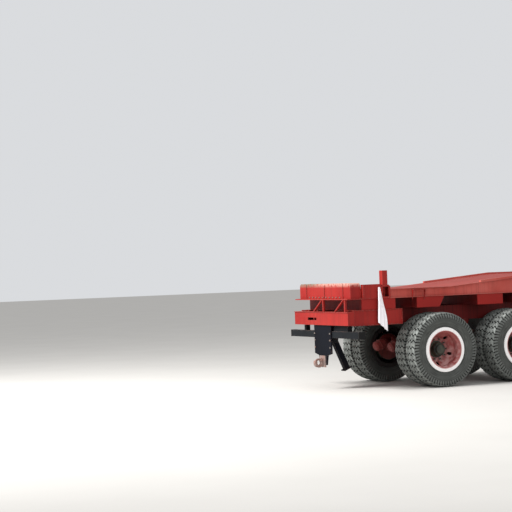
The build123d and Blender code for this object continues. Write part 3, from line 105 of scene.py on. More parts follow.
def chassis_enamel(
    name, fresh, faded, grime, dust, dust_share, grime_share, splash_top, gloss=0.25
):
    """Sprayed enamel on rolled steel: sun-faded patches, rain streaks, settled dust, chipped edges."""
    patch = 0.6  # m across a faded patch
    streak_wide, streak_long = 0.03, 0.7
    cloud_wide = 1 / 9  # m across a cloud of dust, about 110 mm
    grit = 0.014  # real chips are 2 to 5 mm; drawn this coarse so that they show
    worn_edge = 0.009
    orange_peel = 0.004  # depth of the sprayed coat's unevenness, drawn deep so that it shows
    washed_rough, dusty_rough = 0.58, 0.9
    primer = linear("#8A6F66")
    material, tree, shader = new_material(name)
    place = add(tree, "ShaderNodeTexCoord")
    spot = place.outputs["Object"]
    patches = add(tree, "ShaderNodeTexNoise", {"Vector": spot, "Scale": 1 / patch, "Detail": 4.0})
    fade = add(
        tree, "ShaderNodeMapRange", {"Value": patches, "From Min": 0.35, "From Max": 0.68}
    )
    colour = add(
        tree, "ShaderNodeMix", {"Factor": fade, "A": fresh, "B": faded}, data_type="RGBA"
    )
    # Rain carries dirt down the upright faces
    run = add(
        tree,
        "ShaderNodeMapping",
        {"Vector": spot, "Scale": (1 / streak_wide, 1 / streak_wide, 1 / streak_long)},
    )
    streaks = add(tree, "ShaderNodeTexNoise", {"Vector": run, "Scale": 1.0, "Detail": 3.0})
    dirty = add(
        tree,
        "ShaderNodeMapRange",
        {"Value": streaks, "From Min": 0.45, "From Max": 0.8, "To Max": grime_share},
    )
    colour = add(
        tree, "ShaderNodeMix", {"Factor": dirty, "A": colour, "B": grime}, data_type="RGBA"
    )
    # Dust settles on faces that look up, and is thrown on everything below the splash line
    up = add(tree, "ShaderNodeSeparateXYZ", {"Vector": place.outputs["Normal"]})
    shelf = add(
        tree,
        "ShaderNodeMapRange",
        {"Value": up.outputs["Z"], "From Min": 0.4, "From Max": 0.95, "To Max": dust_share},
    )
    height = add(tree, "ShaderNodeSeparateXYZ", {"Vector": spot})
    splash = add(
        tree,
        "ShaderNodeMapRange",
        {
            "Value": height.outputs["Z"],
            "From Min": splash_top,
            "From Max": 0.5 * splash_top,
            "To Max": 0.6 * dust_share,
        },
    )
    cloud = add(tree, "ShaderNodeTexNoise", {"Vector": spot, "Scale": 1 / cloud_wide, "Detail": 6.0})
    settled = add(tree, "ShaderNodeMath", {0: shelf, 1: splash}, operation="MAXIMUM")
    patchy = add(
        tree,
        "ShaderNodeMapRange",
        {"Value": cloud, "From Min": 0.25, "From Max": 0.7, "To Min": 0.35},
    )
    dusty = add(tree, "ShaderNodeMath", {0: settled, 1: patchy}, operation="MULTIPLY")
    colour = add(
        tree, "ShaderNodeMix", {"Factor": dusty, "A": colour, "B": dust}, data_type="RGBA"
    )
    # Chips down to the primer along the edges
    rounded = add(tree, "ShaderNodeBevel", {"Radius": worn_edge}, samples=4)
    flat = add(tree, "ShaderNodeNewGeometry").outputs["Normal"]
    turn = add(tree, "ShaderNodeVectorMath", {0: rounded, 1: flat}, operation="DOT_PRODUCT")
    edge = add(
        tree, "ShaderNodeMapRange", {"Value": turn, "From Min": 0.995, "From Max": 0.86}
    )
    chips = add(tree, "ShaderNodeTexNoise", {"Vector": spot, "Scale": 1 / grit, "Detail": 2.0})
    broken = add(
        tree, "ShaderNodeMapRange", {"Value": chips, "From Min": 0.5, "From Max": 0.62}
    )
    chipped = add(tree, "ShaderNodeMath", {0: edge, 1: broken}, operation="MULTIPLY")
    colour = add(
        tree, "ShaderNodeMix", {"Factor": chipped, "A": colour, "B": primer}, data_type="RGBA"
    )
    tree.links.new(colour.outputs["Result"], shader.inputs["Base Color"])
    dull = add(
        tree,
        "ShaderNodeMapRange",
        {"Value": dusty, "To Min": washed_rough, "To Max": dusty_rough},
    )
    tree.links.new(dull.outputs["Result"], shader.inputs["Roughness"])
    shader.inputs["Specular IOR Level"].default_value = gloss
    relief = add(
        tree,
        "ShaderNodeBump",
        {"Strength": 0.35, "Distance": orange_peel, "Height": cloud, "Normal": rounded},
    )
    tree.links.new(relief.outputs["Normal"], shader.inputs["Normal"])
    return material


# Red enamel on the open parts of the frame: soft gloss where rain washes it, chalky where the sun is
red_enamel = chassis_enamel(
    "red_chassis_enamel_weathered",
    fresh=linear("#8E1712"),
    faded=linear("#9B241D"),
    grime=linear("#561612"),
    dust=linear("#A8705F"),
    dust_share=0.24,
    grime_share=0.4,
    splash_top=0.9,
)
# The same enamel below the deck, in darker colours as painted shade, dull with road film
red_enamel_shaded_under = chassis_enamel(
    "red_chassis_enamel_shaded_road_film",
    fresh=linear("#661210"),
    faded=linear("#731815"),
    grime=linear("#260C0C"),
    dust=linear("#94706A"),
    dust_share=0.45,
    grime_share=0.6,
    splash_top=0.9,
)
# Painted shade: the bearers are darker inside the frame, with road film; only their outer ends are
# plain red
bearer_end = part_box("cross_bearers")[1].y
outer_end_depth = 0.012
bearer_enamel = red_enamel_shaded_under.copy()
bearer_enamel.name = "red_chassis_enamel_shaded_inside_frame"
tree = bearer_enamel.node_tree
shader = tree.nodes["Principled BSDF"]
split = add(
    tree,
    "ShaderNodeSeparateXYZ",
    {"Vector": add(tree, "ShaderNodeTexCoord").outputs["Object"]},
)
aside = add(tree, "ShaderNodeMath", {0: split.outputs["Y"]}, operation="ABSOLUTE")
outer_end_plate = add(
    tree, "ShaderNodeMath", {0: aside, 1: bearer_end - outer_end_depth}, operation="GREATER_THAN"
)
shaded_inside = shader.inputs["Base Color"].links[0].from_socket
colour = add(
    tree,
    "ShaderNodeMix",
    {"Factor": outer_end_plate, "A": shaded_inside, "B": linear("#931A14")},
    data_type="RGBA",
)
tree.links.new(colour.outputs["Result"], shader.inputs["Base Color"])
dress(["cross_bearers"], bearer_enamel)
dress(
    [
        "deck_plate",
        "deck_brackets",
        "stake_pockets",
        "stake",
        "tail_braces",
        "tail_floor",
        "rear_cross_beam",
        "front_cross_beam",
        "rear_side_beam_left",
        "rear_side_beam_right",
        "drawbar_beam_left",
        "drawbar_beam_right",
        "drawbar_head",
        "drawbar_tie",
        "jack_tube",
    ],
    red_enamel,
)
# Side rails: a lighter, pinker enamel, partly chalked paint and partly painted sunlight and sky sheen
chalked_sunlit_enamel = chassis_enamel(
    "red_chassis_enamel_chalked_sunlit",
    fresh=linear("#B3493F"),
    faded=linear("#C26157"),
    grime=linear("#6A241D"),
    dust=linear("#B98A7B"),
    dust_share=0.3,
    grime_share=0.3,
    splash_top=0.9,
)
dress(["side_rail_left", "side_rail_right"], chalked_sunlit_enamel)
dress(
    [
        "main_rail_left",
        "main_rail_right",
        "trunnion_hangers",
        "trunnion_tube",
        "axle_front",
        "axle_rear",
        "brake_chambers",
    ],
    red_enamel_shaded_under,
)

# ---------------------------------------------------------------- tail box
# A pressed steel box bolted across the tail, in the same red enamel. Its top rim is painted pale,
# part painted highlight and part rubbing by ropes and loads; grey-green dust lies at its far end.
rim_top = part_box("tail_box")[1].z
rim_depth = 0.07
scuff_wide = 1 / 22  # m, about 45 mm
green_from, green_to = 0.05, 0.45  # m left of the middle
pale_rim_lit_and_rubbed, dusty_green = linear("#C49A8C"), linear("#7A7867")
tail_enamel = red_enamel.copy()
tail_enamel.name = "red_chassis_enamel_rim_highlight_and_rub"
tree = tail_enamel.node_tree
shader = tree.nodes["Principled BSDF"]
spot = add(tree, "ShaderNodeTexCoord").outputs["Object"]
split = add(tree, "ShaderNodeSeparateXYZ", {"Vector": spot})
# Painted highlight: the top band of the box goes pale in patches, standing for lit rim and rubbing
rim = add(
    tree,
    "ShaderNodeMapRange",
    {"Value": split.outputs["Z"], "From Min": rim_top - rim_depth, "From Max": rim_top},
)
scuffs = add(tree, "ShaderNodeTexNoise", {"Vector": spot, "Scale": 1 / scuff_wide, "Detail": 5.0})
rim_patches = add(tree, "ShaderNodeMapRange", {"Value": scuffs, "From Min": 0.3, "From Max": 0.52})
pale_rim_mask = add(tree, "ShaderNodeMath", {0: rim, 1: rim_patches}, operation="MULTIPLY")
far_end = add(
    tree,
    "ShaderNodeMapRange",
    {"Value": split.outputs["Y"], "From Min": green_from, "From Max": green_to},
)
rim_colour = add(
    tree, "ShaderNodeMix", {"Factor": far_end, "A": pale_rim_lit_and_rubbed, "B": dusty_green}, data_type="RGBA"
)
painted = shader.inputs["Base Color"].links[0].from_socket
colour = add(
    tree, "ShaderNodeMix", {"Factor": pale_rim_mask, "A": painted, "B": rim_colour}, data_type="RGBA"
)
tree.links.new(colour.outputs["Result"], shader.inputs["Base Color"])
dress(["tail_box"], tail_enamel)

# ---------------------------------------------------------------- springs, saddles and clamps
# Stacks of hardened spring leaves rocking on cast saddles, held by forged clamps. The leaves are
# dark with scale and old grease, browned by rust where water lies between them.


def raw_metal(name, bright, rust, metallic, roughness, rust_share, grain):
    """Forged or rolled steel with rust in patches; grain is the size of its surface pits."""
    rust_patch = 1 / 7  # m, about 140 mm
    pit_depth = 0.002
    rust_rough = 0.92
    material, tree, shader = new_material(name)
    spot = add(tree, "ShaderNodeTexCoord").outputs["Object"]
    patches = add(tree, "ShaderNodeTexNoise", {"Vector": spot, "Scale": 1 / rust_patch, "Detail": 6.0})
    rusty = add(
        tree,
        "ShaderNodeMapRange",
        {"Value": patches, "From Min": 0.42, "From Max": 0.62, "To Max": rust_share},
    )
    colour = add(
        tree, "ShaderNodeMix", {"Factor": rusty, "A": bright, "B": rust}, data_type="RGBA"
    )
    tree.links.new(colour.outputs["Result"], shader.inputs["Base Color"])
    metal = add(
        tree, "ShaderNodeMapRange", {"Value": rusty, "To Min": metallic, "To Max": 0.0}
    )
    tree.links.new(metal.outputs["Result"], shader.inputs["Metallic"])
    dull = add(
        tree, "ShaderNodeMapRange", {"Value": rusty, "To Min": roughness, "To Max": rust_rough}
    )
    tree.links.new(dull.outputs["Result"], shader.inputs["Roughness"])
    pits = add(tree, "ShaderNodeTexNoise", {"Vector": spot, "Scale": 1 / grain, "Detail": 3.0})
    relief = add(tree, "ShaderNodeBump", {"Strength": 0.4, "Distance": pit_depth, "Height": pits})
    tree.links.new(relief.outputs["Normal"], shader.inputs["Normal"])
    return material


# Spring steel: blue-black scale with brown rust, hardly any shine left
spring_steel = raw_metal(
    "spring_steel_scaled",
    bright=linear("#3A302D"),
    rust=linear("#6B4234"),
    metallic=0.35,
    roughness=0.6,
    rust_share=0.8,
    grain=0.01,
)
dress(["leaf_spring_left", "leaf_spring_right"], spring_steel)
# Castings and forgings of the bogie: red overspray that has gone brown
saddle_enamel = chassis_enamel(
    "red_enamel_over_castings",
    fresh=linear("#7A3029"),
    faded=linear("#8C3F36"),
    grime=linear("#3A211D"),
    dust=linear("#A08478"),
    dust_share=0.5,
    grime_share=0.7,
    splash_top=1.2,
)
dress(["spring_saddles", "spring_clamps"], saddle_enamel)
# Zinc-plated fasteners, dulled to grey with rust blooms
zinc_bolts = raw_metal(
    "zinc_plated_fasteners_dull",
    bright=linear("#8C8781"),
    rust=linear("#7A4B3A"),
    metallic=0.75,
    roughness=0.5,
    rust_share=0.7,
    grain=0.006,
)
dress(["frame_bolts"], zinc_bolts)

# ---------------------------------------------------------------- disc wheels and hubs
# Pressed steel disc wheels, two to a hub, painted red with the rim flange ring left off-white.
# The hubs are greasy dark castings, and their zinc-plated nuts have begun to rust.
flange_inner = 0.311  # radius where the pale ring begins
ring_edge = 0.004
# Distances from the cart's middle: the ring is painted only on the outer wheel of each pair, and
# the inner wheel is drawn near black as painted shade between the pair
outer_face_from = 1.15
inner_shade_to, unshaded_from = 0.84, 0.94
axle_names = ("rear", "front")
sides = ("right", "left")


def wheel_paint(name, centre):
    """Red enamel disc and off-white flange ring, chalky with dust; painted light and shade on the
    disc.
    """
    disc, disc_dust_and_light = linear("#A04C49"), linear("#CB9C98")
    ring, ring_dirty = linear("#F8F5F4"), linear("#D8CFCC")
    dust_patch = 1 / 14  # m, about 70 mm
    dirt_spot = 1 / 60  # m, about 17 mm
    chalk_depth = 0.002
    material, tree, shader = new_material(name)
    spot = add(tree, "ShaderNodeTexCoord").outputs["Object"]
    here = add(tree, "ShaderNodeMapping", {"Vector": spot, "Location": (-centre.x, 0, -centre.z)})
    flat = add(tree, "ShaderNodeMapping", {"Vector": here, "Scale": (1, 0, 1)})
    radius = add(tree, "ShaderNodeVectorMath", {0: flat}, operation="LENGTH")
    grain = add(tree, "ShaderNodeTexNoise", {"Vector": spot, "Scale": 1 / dust_patch, "Detail": 6.0})
    spots = add(tree, "ShaderNodeTexNoise", {"Vector": spot, "Scale": 1 / dirt_spot, "Detail": 3.0})
    dusty = add(tree, "ShaderNodeMapRange", {"Value": grain, "From Min": 0.35, "From Max": 0.65})
    # Painted light and shade: the dish goes pale with dust low down, as if lit, and darker at the top
    lit_low_shaded_high = add(
        tree,
        "ShaderNodeMapRange",
        {
            "Value": add(tree, "ShaderNodeSeparateXYZ", {"Vector": here}).outputs["Z"],
            "From Min": -flange_inner,
            "From Max": flange_inner,
            "To Min": 1.3,
            "To Max": 0.1,
        },
    )
    settled = add(tree, "ShaderNodeMath", {0: dusty, 1: lit_low_shaded_high}, operation="MULTIPLY", use_clamp=True)
    red = add(
        tree, "ShaderNodeMix", {"Factor": settled, "A": disc, "B": disc_dust_and_light}, data_type="RGBA"
    )
    dirty = add(tree, "ShaderNodeMapRange", {"Value": spots, "From Min": 0.55, "From Max": 0.8})
    white = add(
        tree, "ShaderNodeMix", {"Factor": dirty, "A": ring, "B": ring_dirty}, data_type="RGBA"
    )
    ringed = add(
        tree,
        "ShaderNodeMapRange",
        {
            "Value": radius,
            "From Min": flange_inner - ring_edge,
            "From Max": flange_inner + ring_edge,
        },
    )
    split = add(tree, "ShaderNodeSeparateXYZ", {"Vector": spot})
    aside = add(tree, "ShaderNodeMath", {0: split.outputs["Y"]}, operation="ABSOLUTE")
    outward = add(
        tree, "ShaderNodeMath", {0: aside, 1: outer_face_from}, operation="GREATER_THAN"
    )
    inside = add(tree, "ShaderNodeMath", {0: ringed, 1: outward}, operation="MULTIPLY")
    colour = add(
        tree, "ShaderNodeMix", {"Factor": inside, "A": red, "B": white}, data_type="RGBA"
    )
    # Painted shade: the inner wheel of each pair is drawn near black inboard of the outer wheel
    out_of_inner_shade = add(
        tree, "ShaderNodeMapRange", {"Value": aside, "From Min": inner_shade_to, "From Max": unshaded_from}
    )
    colour = add(
        tree,
        "ShaderNodeMix",
        {"Factor": out_of_inner_shade, "A": linear("#1F1716"), "B": colour},
        data_type="RGBA",
    )
    tree.links.new(colour.outputs["Result"], shader.inputs["Base Color"])
    dull = add(tree, "ShaderNodeMapRange", {"Value": grain, "To Min": 0.5, "To Max": 0.85})
    tree.links.new(dull.outputs["Result"], shader.inputs["Roughness"])
    relief = add(tree, "ShaderNodeBump", {"Strength": 0.3, "Distance": chalk_depth, "Height": grain})
    tree.links.new(relief.outputs["Normal"], shader.inputs["Normal"])
    return material


# Hub castings: dark green-grey paint under grease, with a soft wet shine
hub_casting = raw_metal(
    "hub_casting_greasy",
    bright=linear("#23261F"),
    rust=linear("#565848"),
    metallic=0.1,
    roughness=0.45,
    rust_share=0.5,
    grain=0.012,
)
wheel_centre = {}
for axle in axle_names:
    low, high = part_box(f"wheels_{axle}_right")
    wheel_centre[axle] = (low + high) / 2
    painted = wheel_paint(f"wheel_enamel_{axle}", wheel_centre[axle])
    dress([f"wheels_{axle}_{side}" for side in sides], painted)
    dress([f"hub_{axle}_{side}" for side in sides], hub_casting)
    dress([f"wheel_nuts_{axle}_{side}" for side in sides], zinc_bolts)

# ---------------------------------------------------------------- tyres
# Twin traction tyres of natural rubber: smooth bulged sidewalls, and moulded tread blocks in a
# zigzag with lugs over both shoulders. Dust greys the block tops and sidewalls; the grooves are
# painted shade.
tread_pitches = 36
steps_per_pitch = 4
tread_depth = 0.019
crown_drop = 0.016
tread_half = 0.130
wall_widest_radius = 0.479
bead_radius, bead_half = 0.366, 0.112
bore_radius = 0.345
lug_end_radius = 0.514
lug_height = 0.013
# How much each part shows of the pale scrubbed rubber, from 0 in a groove (painted shade) to 1 on a
# block
lug_end_shade, notch_shade, wall_shade = 0.62, 0.16, 0.35
block_draft = 0.002
block_root = 0.002  # how far a block's foot sinks into the casing
wall_inset = 0.003  # how far the plain sidewall lies inside the outline of the tyre
# Each rib of blocks lies between two distances from the middle of the tread; the cuts across it
# follow one zigzag, whose turns are this far apart and swing this share of a pitch
ribs = [(0.0, 0.017), (0.028, 0.059), (0.070, tread_half)]
zigzag_turn, zigzag_swing = 0.044, 0.19
cut_start, cut_end = 0.0, 0.72
lug_share = 0.6  # of the room that each lug has
wall_lugs = 2  # small lugs down the shoulder in each pitch


def arc_offset(radius, points):
    """Offset at this radius on the circle through three (radius, offset) points."""
    (r1, y1), (r2, y2), (r3, y3) = points
    turn = 2 * (r1 * (y2 - y3) + r2 * (y3 - y1) + r3 * (y1 - y2))
    q1, q2, q3 = r1**2 + y1**2, r2**2 + y2**2, r3**2 + y3**2
    cr = (q1 * (y2 - y3) + q2 * (y3 - y1) + q3 * (y1 - y2)) / turn
    cy = (q1 * (r3 - r2) + q2 * (r1 - r3) + q3 * (r2 - r1)) / turn
    size = math.hypot(r1 - cr, y1 - cy)
    return cy + math.sqrt(max(size**2 - (radius - cr) ** 2, 0.0))


def build_tyre(name, radius, half, turned_by):
    """One tyre about the Y axis through the origin, with its tread height as a point attribute."""
    shoulder = (radius - crown_drop, tread_half)
    wall = (shoulder, (wall_widest_radius, half), (bead_radius, bead_half))
    verts, faces, height = [], [], []

    def crown(y):
        return radius - crown_drop * (y / tread_half) ** 2

    def put(r, y, angle, high):
        verts.append((r * math.sin(angle + turned_by), y, r * math.cos(angle + turned_by)))
        height.append(high)
        return len(verts) - 1

    # Casing: one closed profile carried round the axle
    side_radii = [bead_radius, 0.38, 0.384, 0.392, 0.396, 0.42, 0.45, 0.48, 0.508]
    rise = {0.384: wall_inset, 0.392: wall_inset}  # the rib that keeps kerbs off the rim
    floor_radius = shoulder[0] - tread_depth
    profile = [(bore_radius, bead_half - 0.01)]
    for r in side_radii:
        profile.append((r, arc_offset(r, wall) - wall_inset + rise.get(r, 0.0)))
    for r in (0.520, 0.535, 0.550, 0.565, 0.577):
        sunk = lug_height * (r - side_radii[-1]) / (floor_radius - side_radii[-1])
        profile.append((r, arc_offset(r, wall) - wall_inset - sunk))
    for y in (0.122, 0.100, 0.070, 0.035):
        profile.append((crown(y) - tread_depth, y))
    profile = profile + [(crown(0) - tread_depth, 0.0)] + [(r, -y) for r, y in reversed(profile)]
    around = tread_pitches * steps_per_pitch
    rows = len(profile)
    for k in range(around):
        for r, y in profile:
            shade = wall_shade if r < lug_end_radius else notch_shade if abs(y) > tread_half else 0.0
            put(r, y, 2 * math.pi * k / around, shade)
    for k in range(around):
        here, there = k * rows, (k + 1) % around * rows
        for i in range(rows):
            j = (i + 1) % rows
            faces.append((here + i, here + j, there + j, there + i))

    def block(k, way, stations, start=cut_start, end=cut_end):
        """One tread block: each station has a top point and a foot point, both (radius, offset)."""
        rings = []
        for (r, y), (foot_r, foot_y), high in stations:
            turned = abs((y / zigzag_turn) % 2 - 1) * 2 - 1
            row = []
            for u, spread in ((start, -block_draft), (end, block_draft)):
                angle = (k + u + zigzag_swing * turned) * pitch
                row.append(put(r, way * y, angle, high))
                row.append(put(foot_r, way * foot_y, angle + spread / radius, 0.0))
            rings.append(row)
        for here, there in zip(rings, rings[1:]):
            for a, b in ((0, 2), (2, 3), (3, 1), (1, 0)):
                faces.append((here[a], here[b], there[b], there[a]))
        faces.append((rings[0][0], rings[0][2], rings[0][3], rings[0][1]))
        faces.append((rings[-1][0], rings[-1][2], rings[-1][3], rings[-1][1]))

    pitch = 2 * math.pi / tread_pitches
    sink = tread_depth + block_root
    for k in range(tread_pitches):
        for way in (1, -1):
            for inner, outer in ribs:
                turns = [zigzag_turn * n for n in range(4)]
                across = [inner] + [y for y in turns if inner < y < outer] + [outer]
                run = [((crown(y), y), (crown(y) - sink, y), 1.0) for y in across]
                block(k, way, run)
            for lug in range(wall_lugs):
                run = [((shoulder[0] + 0.002, tread_half - 0.006), (0.570, 0.110), 0.9)]
                for r in (shoulder[0] - 0.003, 0.580, 0.562, 0.545, 0.528, lug_end_radius):
                    y = arc_offset(r, wall)
                    run.append(((r, y - 0.001), (r - 0.004, y - 1.6 * lug_height), lug_end_shade))
                start = lug / wall_lugs
                block(k, way, run, start, start + lug_share / wall_lugs)
    mesh = bpy.data.meshes.new(name)
    mesh.from_pydata(verts, [], faces)
    # The tread height also paints shade: the shader draws the rubber near black down in the grooves
    values = mesh.attributes.new("tread_height", "FLOAT", "POINT")
    values.data.foreach_set("value", height)
    shaped = bmesh.new()
    shaped.from_mesh(mesh)
    bmesh.ops.recalc_face_normals(shaped, faces=shaped.faces)
    shaped.to_mesh(mesh)
    shaped.free()
    return mesh


# Vulcanised rubber, dry and dusty: pale grey on the scrubbed block tops, painted shade in black in the
# grooves
rubber, tree, shader = new_material("tyre_rubber_clay_dusted")
groove_shade_black, wall, worn_top = linear("#0D0D0D"), linear("#525451"), linear("#8B8F8B")
blotch_wide = 1 / 6  # m, about 170 mm
speck_wide = 1 / 55  # m, about 18 mm
skin_depth = 0.002
spot = add(tree, "ShaderNodeTexCoord").outputs["Object"]
tread = add(tree, "ShaderNodeAttribute", attribute_name="tread_height").outputs["Fac"]
blotch = add(tree, "ShaderNodeTexNoise", {"Vector": spot, "Scale": 1 / blotch_wide, "Detail": 6.0})
speck = add(tree, "ShaderNodeTexNoise", {"Vector": spot, "Scale": 1 / speck_wide, "Detail": 3.0})
spread = add(
    tree, "ShaderNodeMapRange", {"Value": blotch, "From Min": 0.3, "From Max": 0.7, "To Min": 0.7}
)
deep = add(tree, "ShaderNodeMapRange", {"Value": tread, "From Max": 0.35})
side = add(tree, "ShaderNodeMix", {"Factor": deep, "A": groove_shade_black, "B": wall}, data_type="RGBA")
high = add(tree, "ShaderNodeMapRange", {"Value": tread, "From Min": 0.45, "From Max": 0.9})
scrubbed = add(
    tree, "ShaderNodeMapRange", {"Value": speck, "From Min": 0.3, "From Max": 0.6, "To Min": 0.55}
)
topped = add(tree, "ShaderNodeMath", {0: high, 1: scrubbed}, operation="MULTIPLY")
face = add(tree, "ShaderNodeMix", {"Factor": topped, "A": side, "B": worn_top}, data_type="RGBA")
colour = add(
    tree,
    "ShaderNodeMix",
    {"Factor": spread, "A": groove_shade_black, "B": face},
    data_type="RGBA",
)
# Scuffs and dried mud lie in rings about the axle
ring_wide = 0.007  # m from one moulded or scuffed ring to the next
flat = add(tree, "ShaderNodeMapping", {"Vector": spot, "Scale": (1, 0, 1)})
radius = add(tree, "ShaderNodeVectorMath", {0: flat}, operation="LENGTH")
out = add(tree, "ShaderNodeCombineXYZ", {"X": radius.outputs["Value"]})
ring_stretch = 0.06  # a ring changes this much less along itself than across
around = add(
    tree, "ShaderNodeVectorMath", {0: flat, "Scale": ring_stretch}, operation="SCALE"
)
ring_spot = add(tree, "ShaderNodeVectorMath", {0: out, 1: around.outputs["Vector"]})
rings = add(tree, "ShaderNodeTexNoise", {"Vector": ring_spot, "Scale": 1 / ring_wide})
scuffed = add(
    tree,
    "ShaderNodeMapRange",
    {"Value": rings, "From Min": 0.35, "From Max": 0.65, "To Min": 0.62, "To Max": 1.3},
)
shade = add(tree, "ShaderNodeCombineColor", {"Red": scuffed, "Green": scuffed, "Blue": scuffed})
colour = add(
    tree,
    "ShaderNodeMix",
    {"Factor": 1.0, "A": colour, "B": shade},
    data_type="RGBA",
    blend_type="MULTIPLY",
)
tree.links.new(colour.outputs["Result"], shader.inputs["Base Color"])
shader.inputs["Roughness"].default_value = 0.85
shader.inputs["Specular IOR Level"].default_value = 0.3
relief = add(tree, "ShaderNodeBump", {"Strength": 0.3, "Distance": skin_depth, "Height": speck})
tree.links.new(relief.outputs["Normal"], shader.inputs["Normal"])

# No two tyres stop with their blocks in step, so each mesh is turned by its own part of a pitch
for axle in axle_names:
    for side in sides:
        for place in ("outer", "inner"):
            node = f"tyre_{axle}_{side}_{place}"
            low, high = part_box(node)
            part_turn = random.Random(node).random() * 2 * math.pi / tread_pitches
            tyre_mesh = build_tyre(
                f"traction_{node}", (high.z - low.z) / 2, (high.y - low.y) / 2, part_turn
            )
            tyre_mesh.materials.append(rubber)
            tyre = bpy.data.objects.new(f"traction_{node}", tyre_mesh)
            bpy.context.scene.collection.objects.link(tyre)
            tyre.location = (low + high) / 2
            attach(tyre, f"wheel_{axle}_{side}")
            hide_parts(node)

# ---------------------------------------------------------------- underrun bar
# A pressed steel bar across the tail under the end beam, in dark grey paint, with moulded black
# end caps and chipped edges. Its arms carry up to the rails, and its cheeks hold the prop leg.
cap_length = 0.035
bar_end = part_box("underrun_bar")[1].y
bar_grey = chassis_enamel(
    "grey_bar_paint_scraped",
    fresh=linear("#16181B"),
    faded=linear("#1E2124"),
    grime=linear("#1A1B1D"),
    dust=linear("#8E8C88"),
    dust_share=0.14,
    grime_share=0.5,
    splash_top=0.6,
    gloss=0.08,
)
tree = bar_grey.node_tree
shader = tree.nodes["Principled BSDF"]
split = add(
    tree,
    "ShaderNodeSeparateXYZ",
    {"Vector": add(tree, "ShaderNodeTexCoord").outputs["Object"]},
)
across = add(tree, "ShaderNodeMath", {0: split.outputs["Y"]}, operation="ABSOLUTE")
capped = add(
    tree, "ShaderNodeMath", {0: across, 1: bar_end - cap_length}, operation="GREATER_THAN"
)
painted = shader.inputs["Base Color"].links[0].from_socket
black_cap = linear("#1E1D1D")
colour = add(
    tree, "ShaderNodeMix", {"Factor": capped, "A": painted, "B": black_cap}, data_type="RGBA"
)
tree.links.new(colour.outputs["Result"], shader.inputs["Base Color"])
dress(["underrun_bar"], bar_grey)

# ---------------------------------------------------------------- hitch, hook and prop
# The hitch plate and the prop leg are thick plate in navy machine paint. The towing hook, its
# latch, the tow eye and the jack's leg and crank are bare steel, part bright and part rusted.
navy_paint = chassis_enamel(
    "navy_machine_paint_scuffed",
    fresh=linear("#0B0C12"),
    faded=linear("#11131A"),
    grime=linear("#0E0E11"),
    dust=linear("#6B625E"),
    dust_share=0.12,
    grime_share=0.5,
    splash_top=0.5,
    gloss=0.06,
)
dress(["hitch_plate", "prop_leg"], navy_paint)
forged_steel = raw_metal(
    "forged_hook_steel_worn",
    bright=linear("#9C8B85"),
    rust=linear("#8A5F52"),
    metallic=0.7,
    roughness=0.5,
    rust_share=0.75,
    grain=0.008,
)
dress(["towing_hook", "hook_latch", "tow_eye", "jack_leg", "jack_crank"], forged_steel)

# ---------------------------------------------------------------- cloth marker
# A long pennant of plain white cotton tied to a wire hook on the deck edge to mark a wide load.
# It is cut as a taper, hangs by its narrow end, and falls in soft upright folds. Its points
# are placed one by one here.
flag_low, flag_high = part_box("flag")
flag_mid_y = (flag_low.y + flag_high.y) / 2
flag_top = flag_high.z
flag_tall = flag_high.z - flag_low.z
flag_left = flag_low.x
flag_wide = flag_high.x - flag_low.x
fold_depth = 0.012
fold_count = 2.6
rows, columns = 90, 30
# Edges as shares of the box: the hanging side and the free side, from the tie down
hanging_edge = [(0.10, 0.0), (0.07, 0.35), (0.0, 0.79)]
free_edge = [(0.30, 0.0), (0.56, 0.31), (0.92, 0.70), (1.0, 1.0)]


def along(edge, t):
    """Point at share t of a smooth run through these edge points."""
    place = t * (len(edge) - 1)
    i = min(int(place), len(edge) - 2)
    u = place - i
    a, b = edge[max(i - 1, 0)], edge[i]
    c, d = edge[i + 1], edge[min(i + 2, len(edge) - 1)]
    return [
        0.5
        * (
            2 * b[n]
            + (c[n] - a[n]) * u
            + (2 * a[n] - 5 * b[n] + 4 * c[n] - d[n]) * u**2
            + (3 * b[n] - a[n] - 3 * c[n] + d[n]) * u**3
        )
        for n in (0, 1)
    ]


verts, faces = [], []
for i in range(rows + 1):
    t = i / rows
    near, far = along(hanging_edge, t), along(free_edge, t)
    for j in range(columns + 1):
        s = j / columns
        x = near[0] + (far[0] - near[0]) * s
        z = near[1] + (far[1] - near[1]) * s
        fold = math.sin(2 * math.pi * (fold_count * s + 0.35 * t) + 0.6)
        ripple = 0.25 * math.sin(9.0 * t + 5.0 * s)
        depth = fold_depth * (0.25 + 0.75 * t) * (fold + ripple) / 1.25
        verts.append(
            (flag_left + flag_wide * x, flag_mid_y + depth, flag_top - flag_tall * z)
        )
for i in range(rows):
    for j in range(columns):
        k = i * (columns + 1) + j
        faces.append((k, k + 1, k + columns + 2, k + columns + 1))
cloth_mesh = bpy.data.meshes.new("cotton_marker")
cloth_mesh.from_pydata(verts, [], faces)
cloth_mesh.polygons.foreach_set("use_smooth", [True] * len(faces))
cloth = bpy.data.objects.new("cotton_marker", cloth_mesh)
bpy.context.scene.collection.objects.link(cloth)


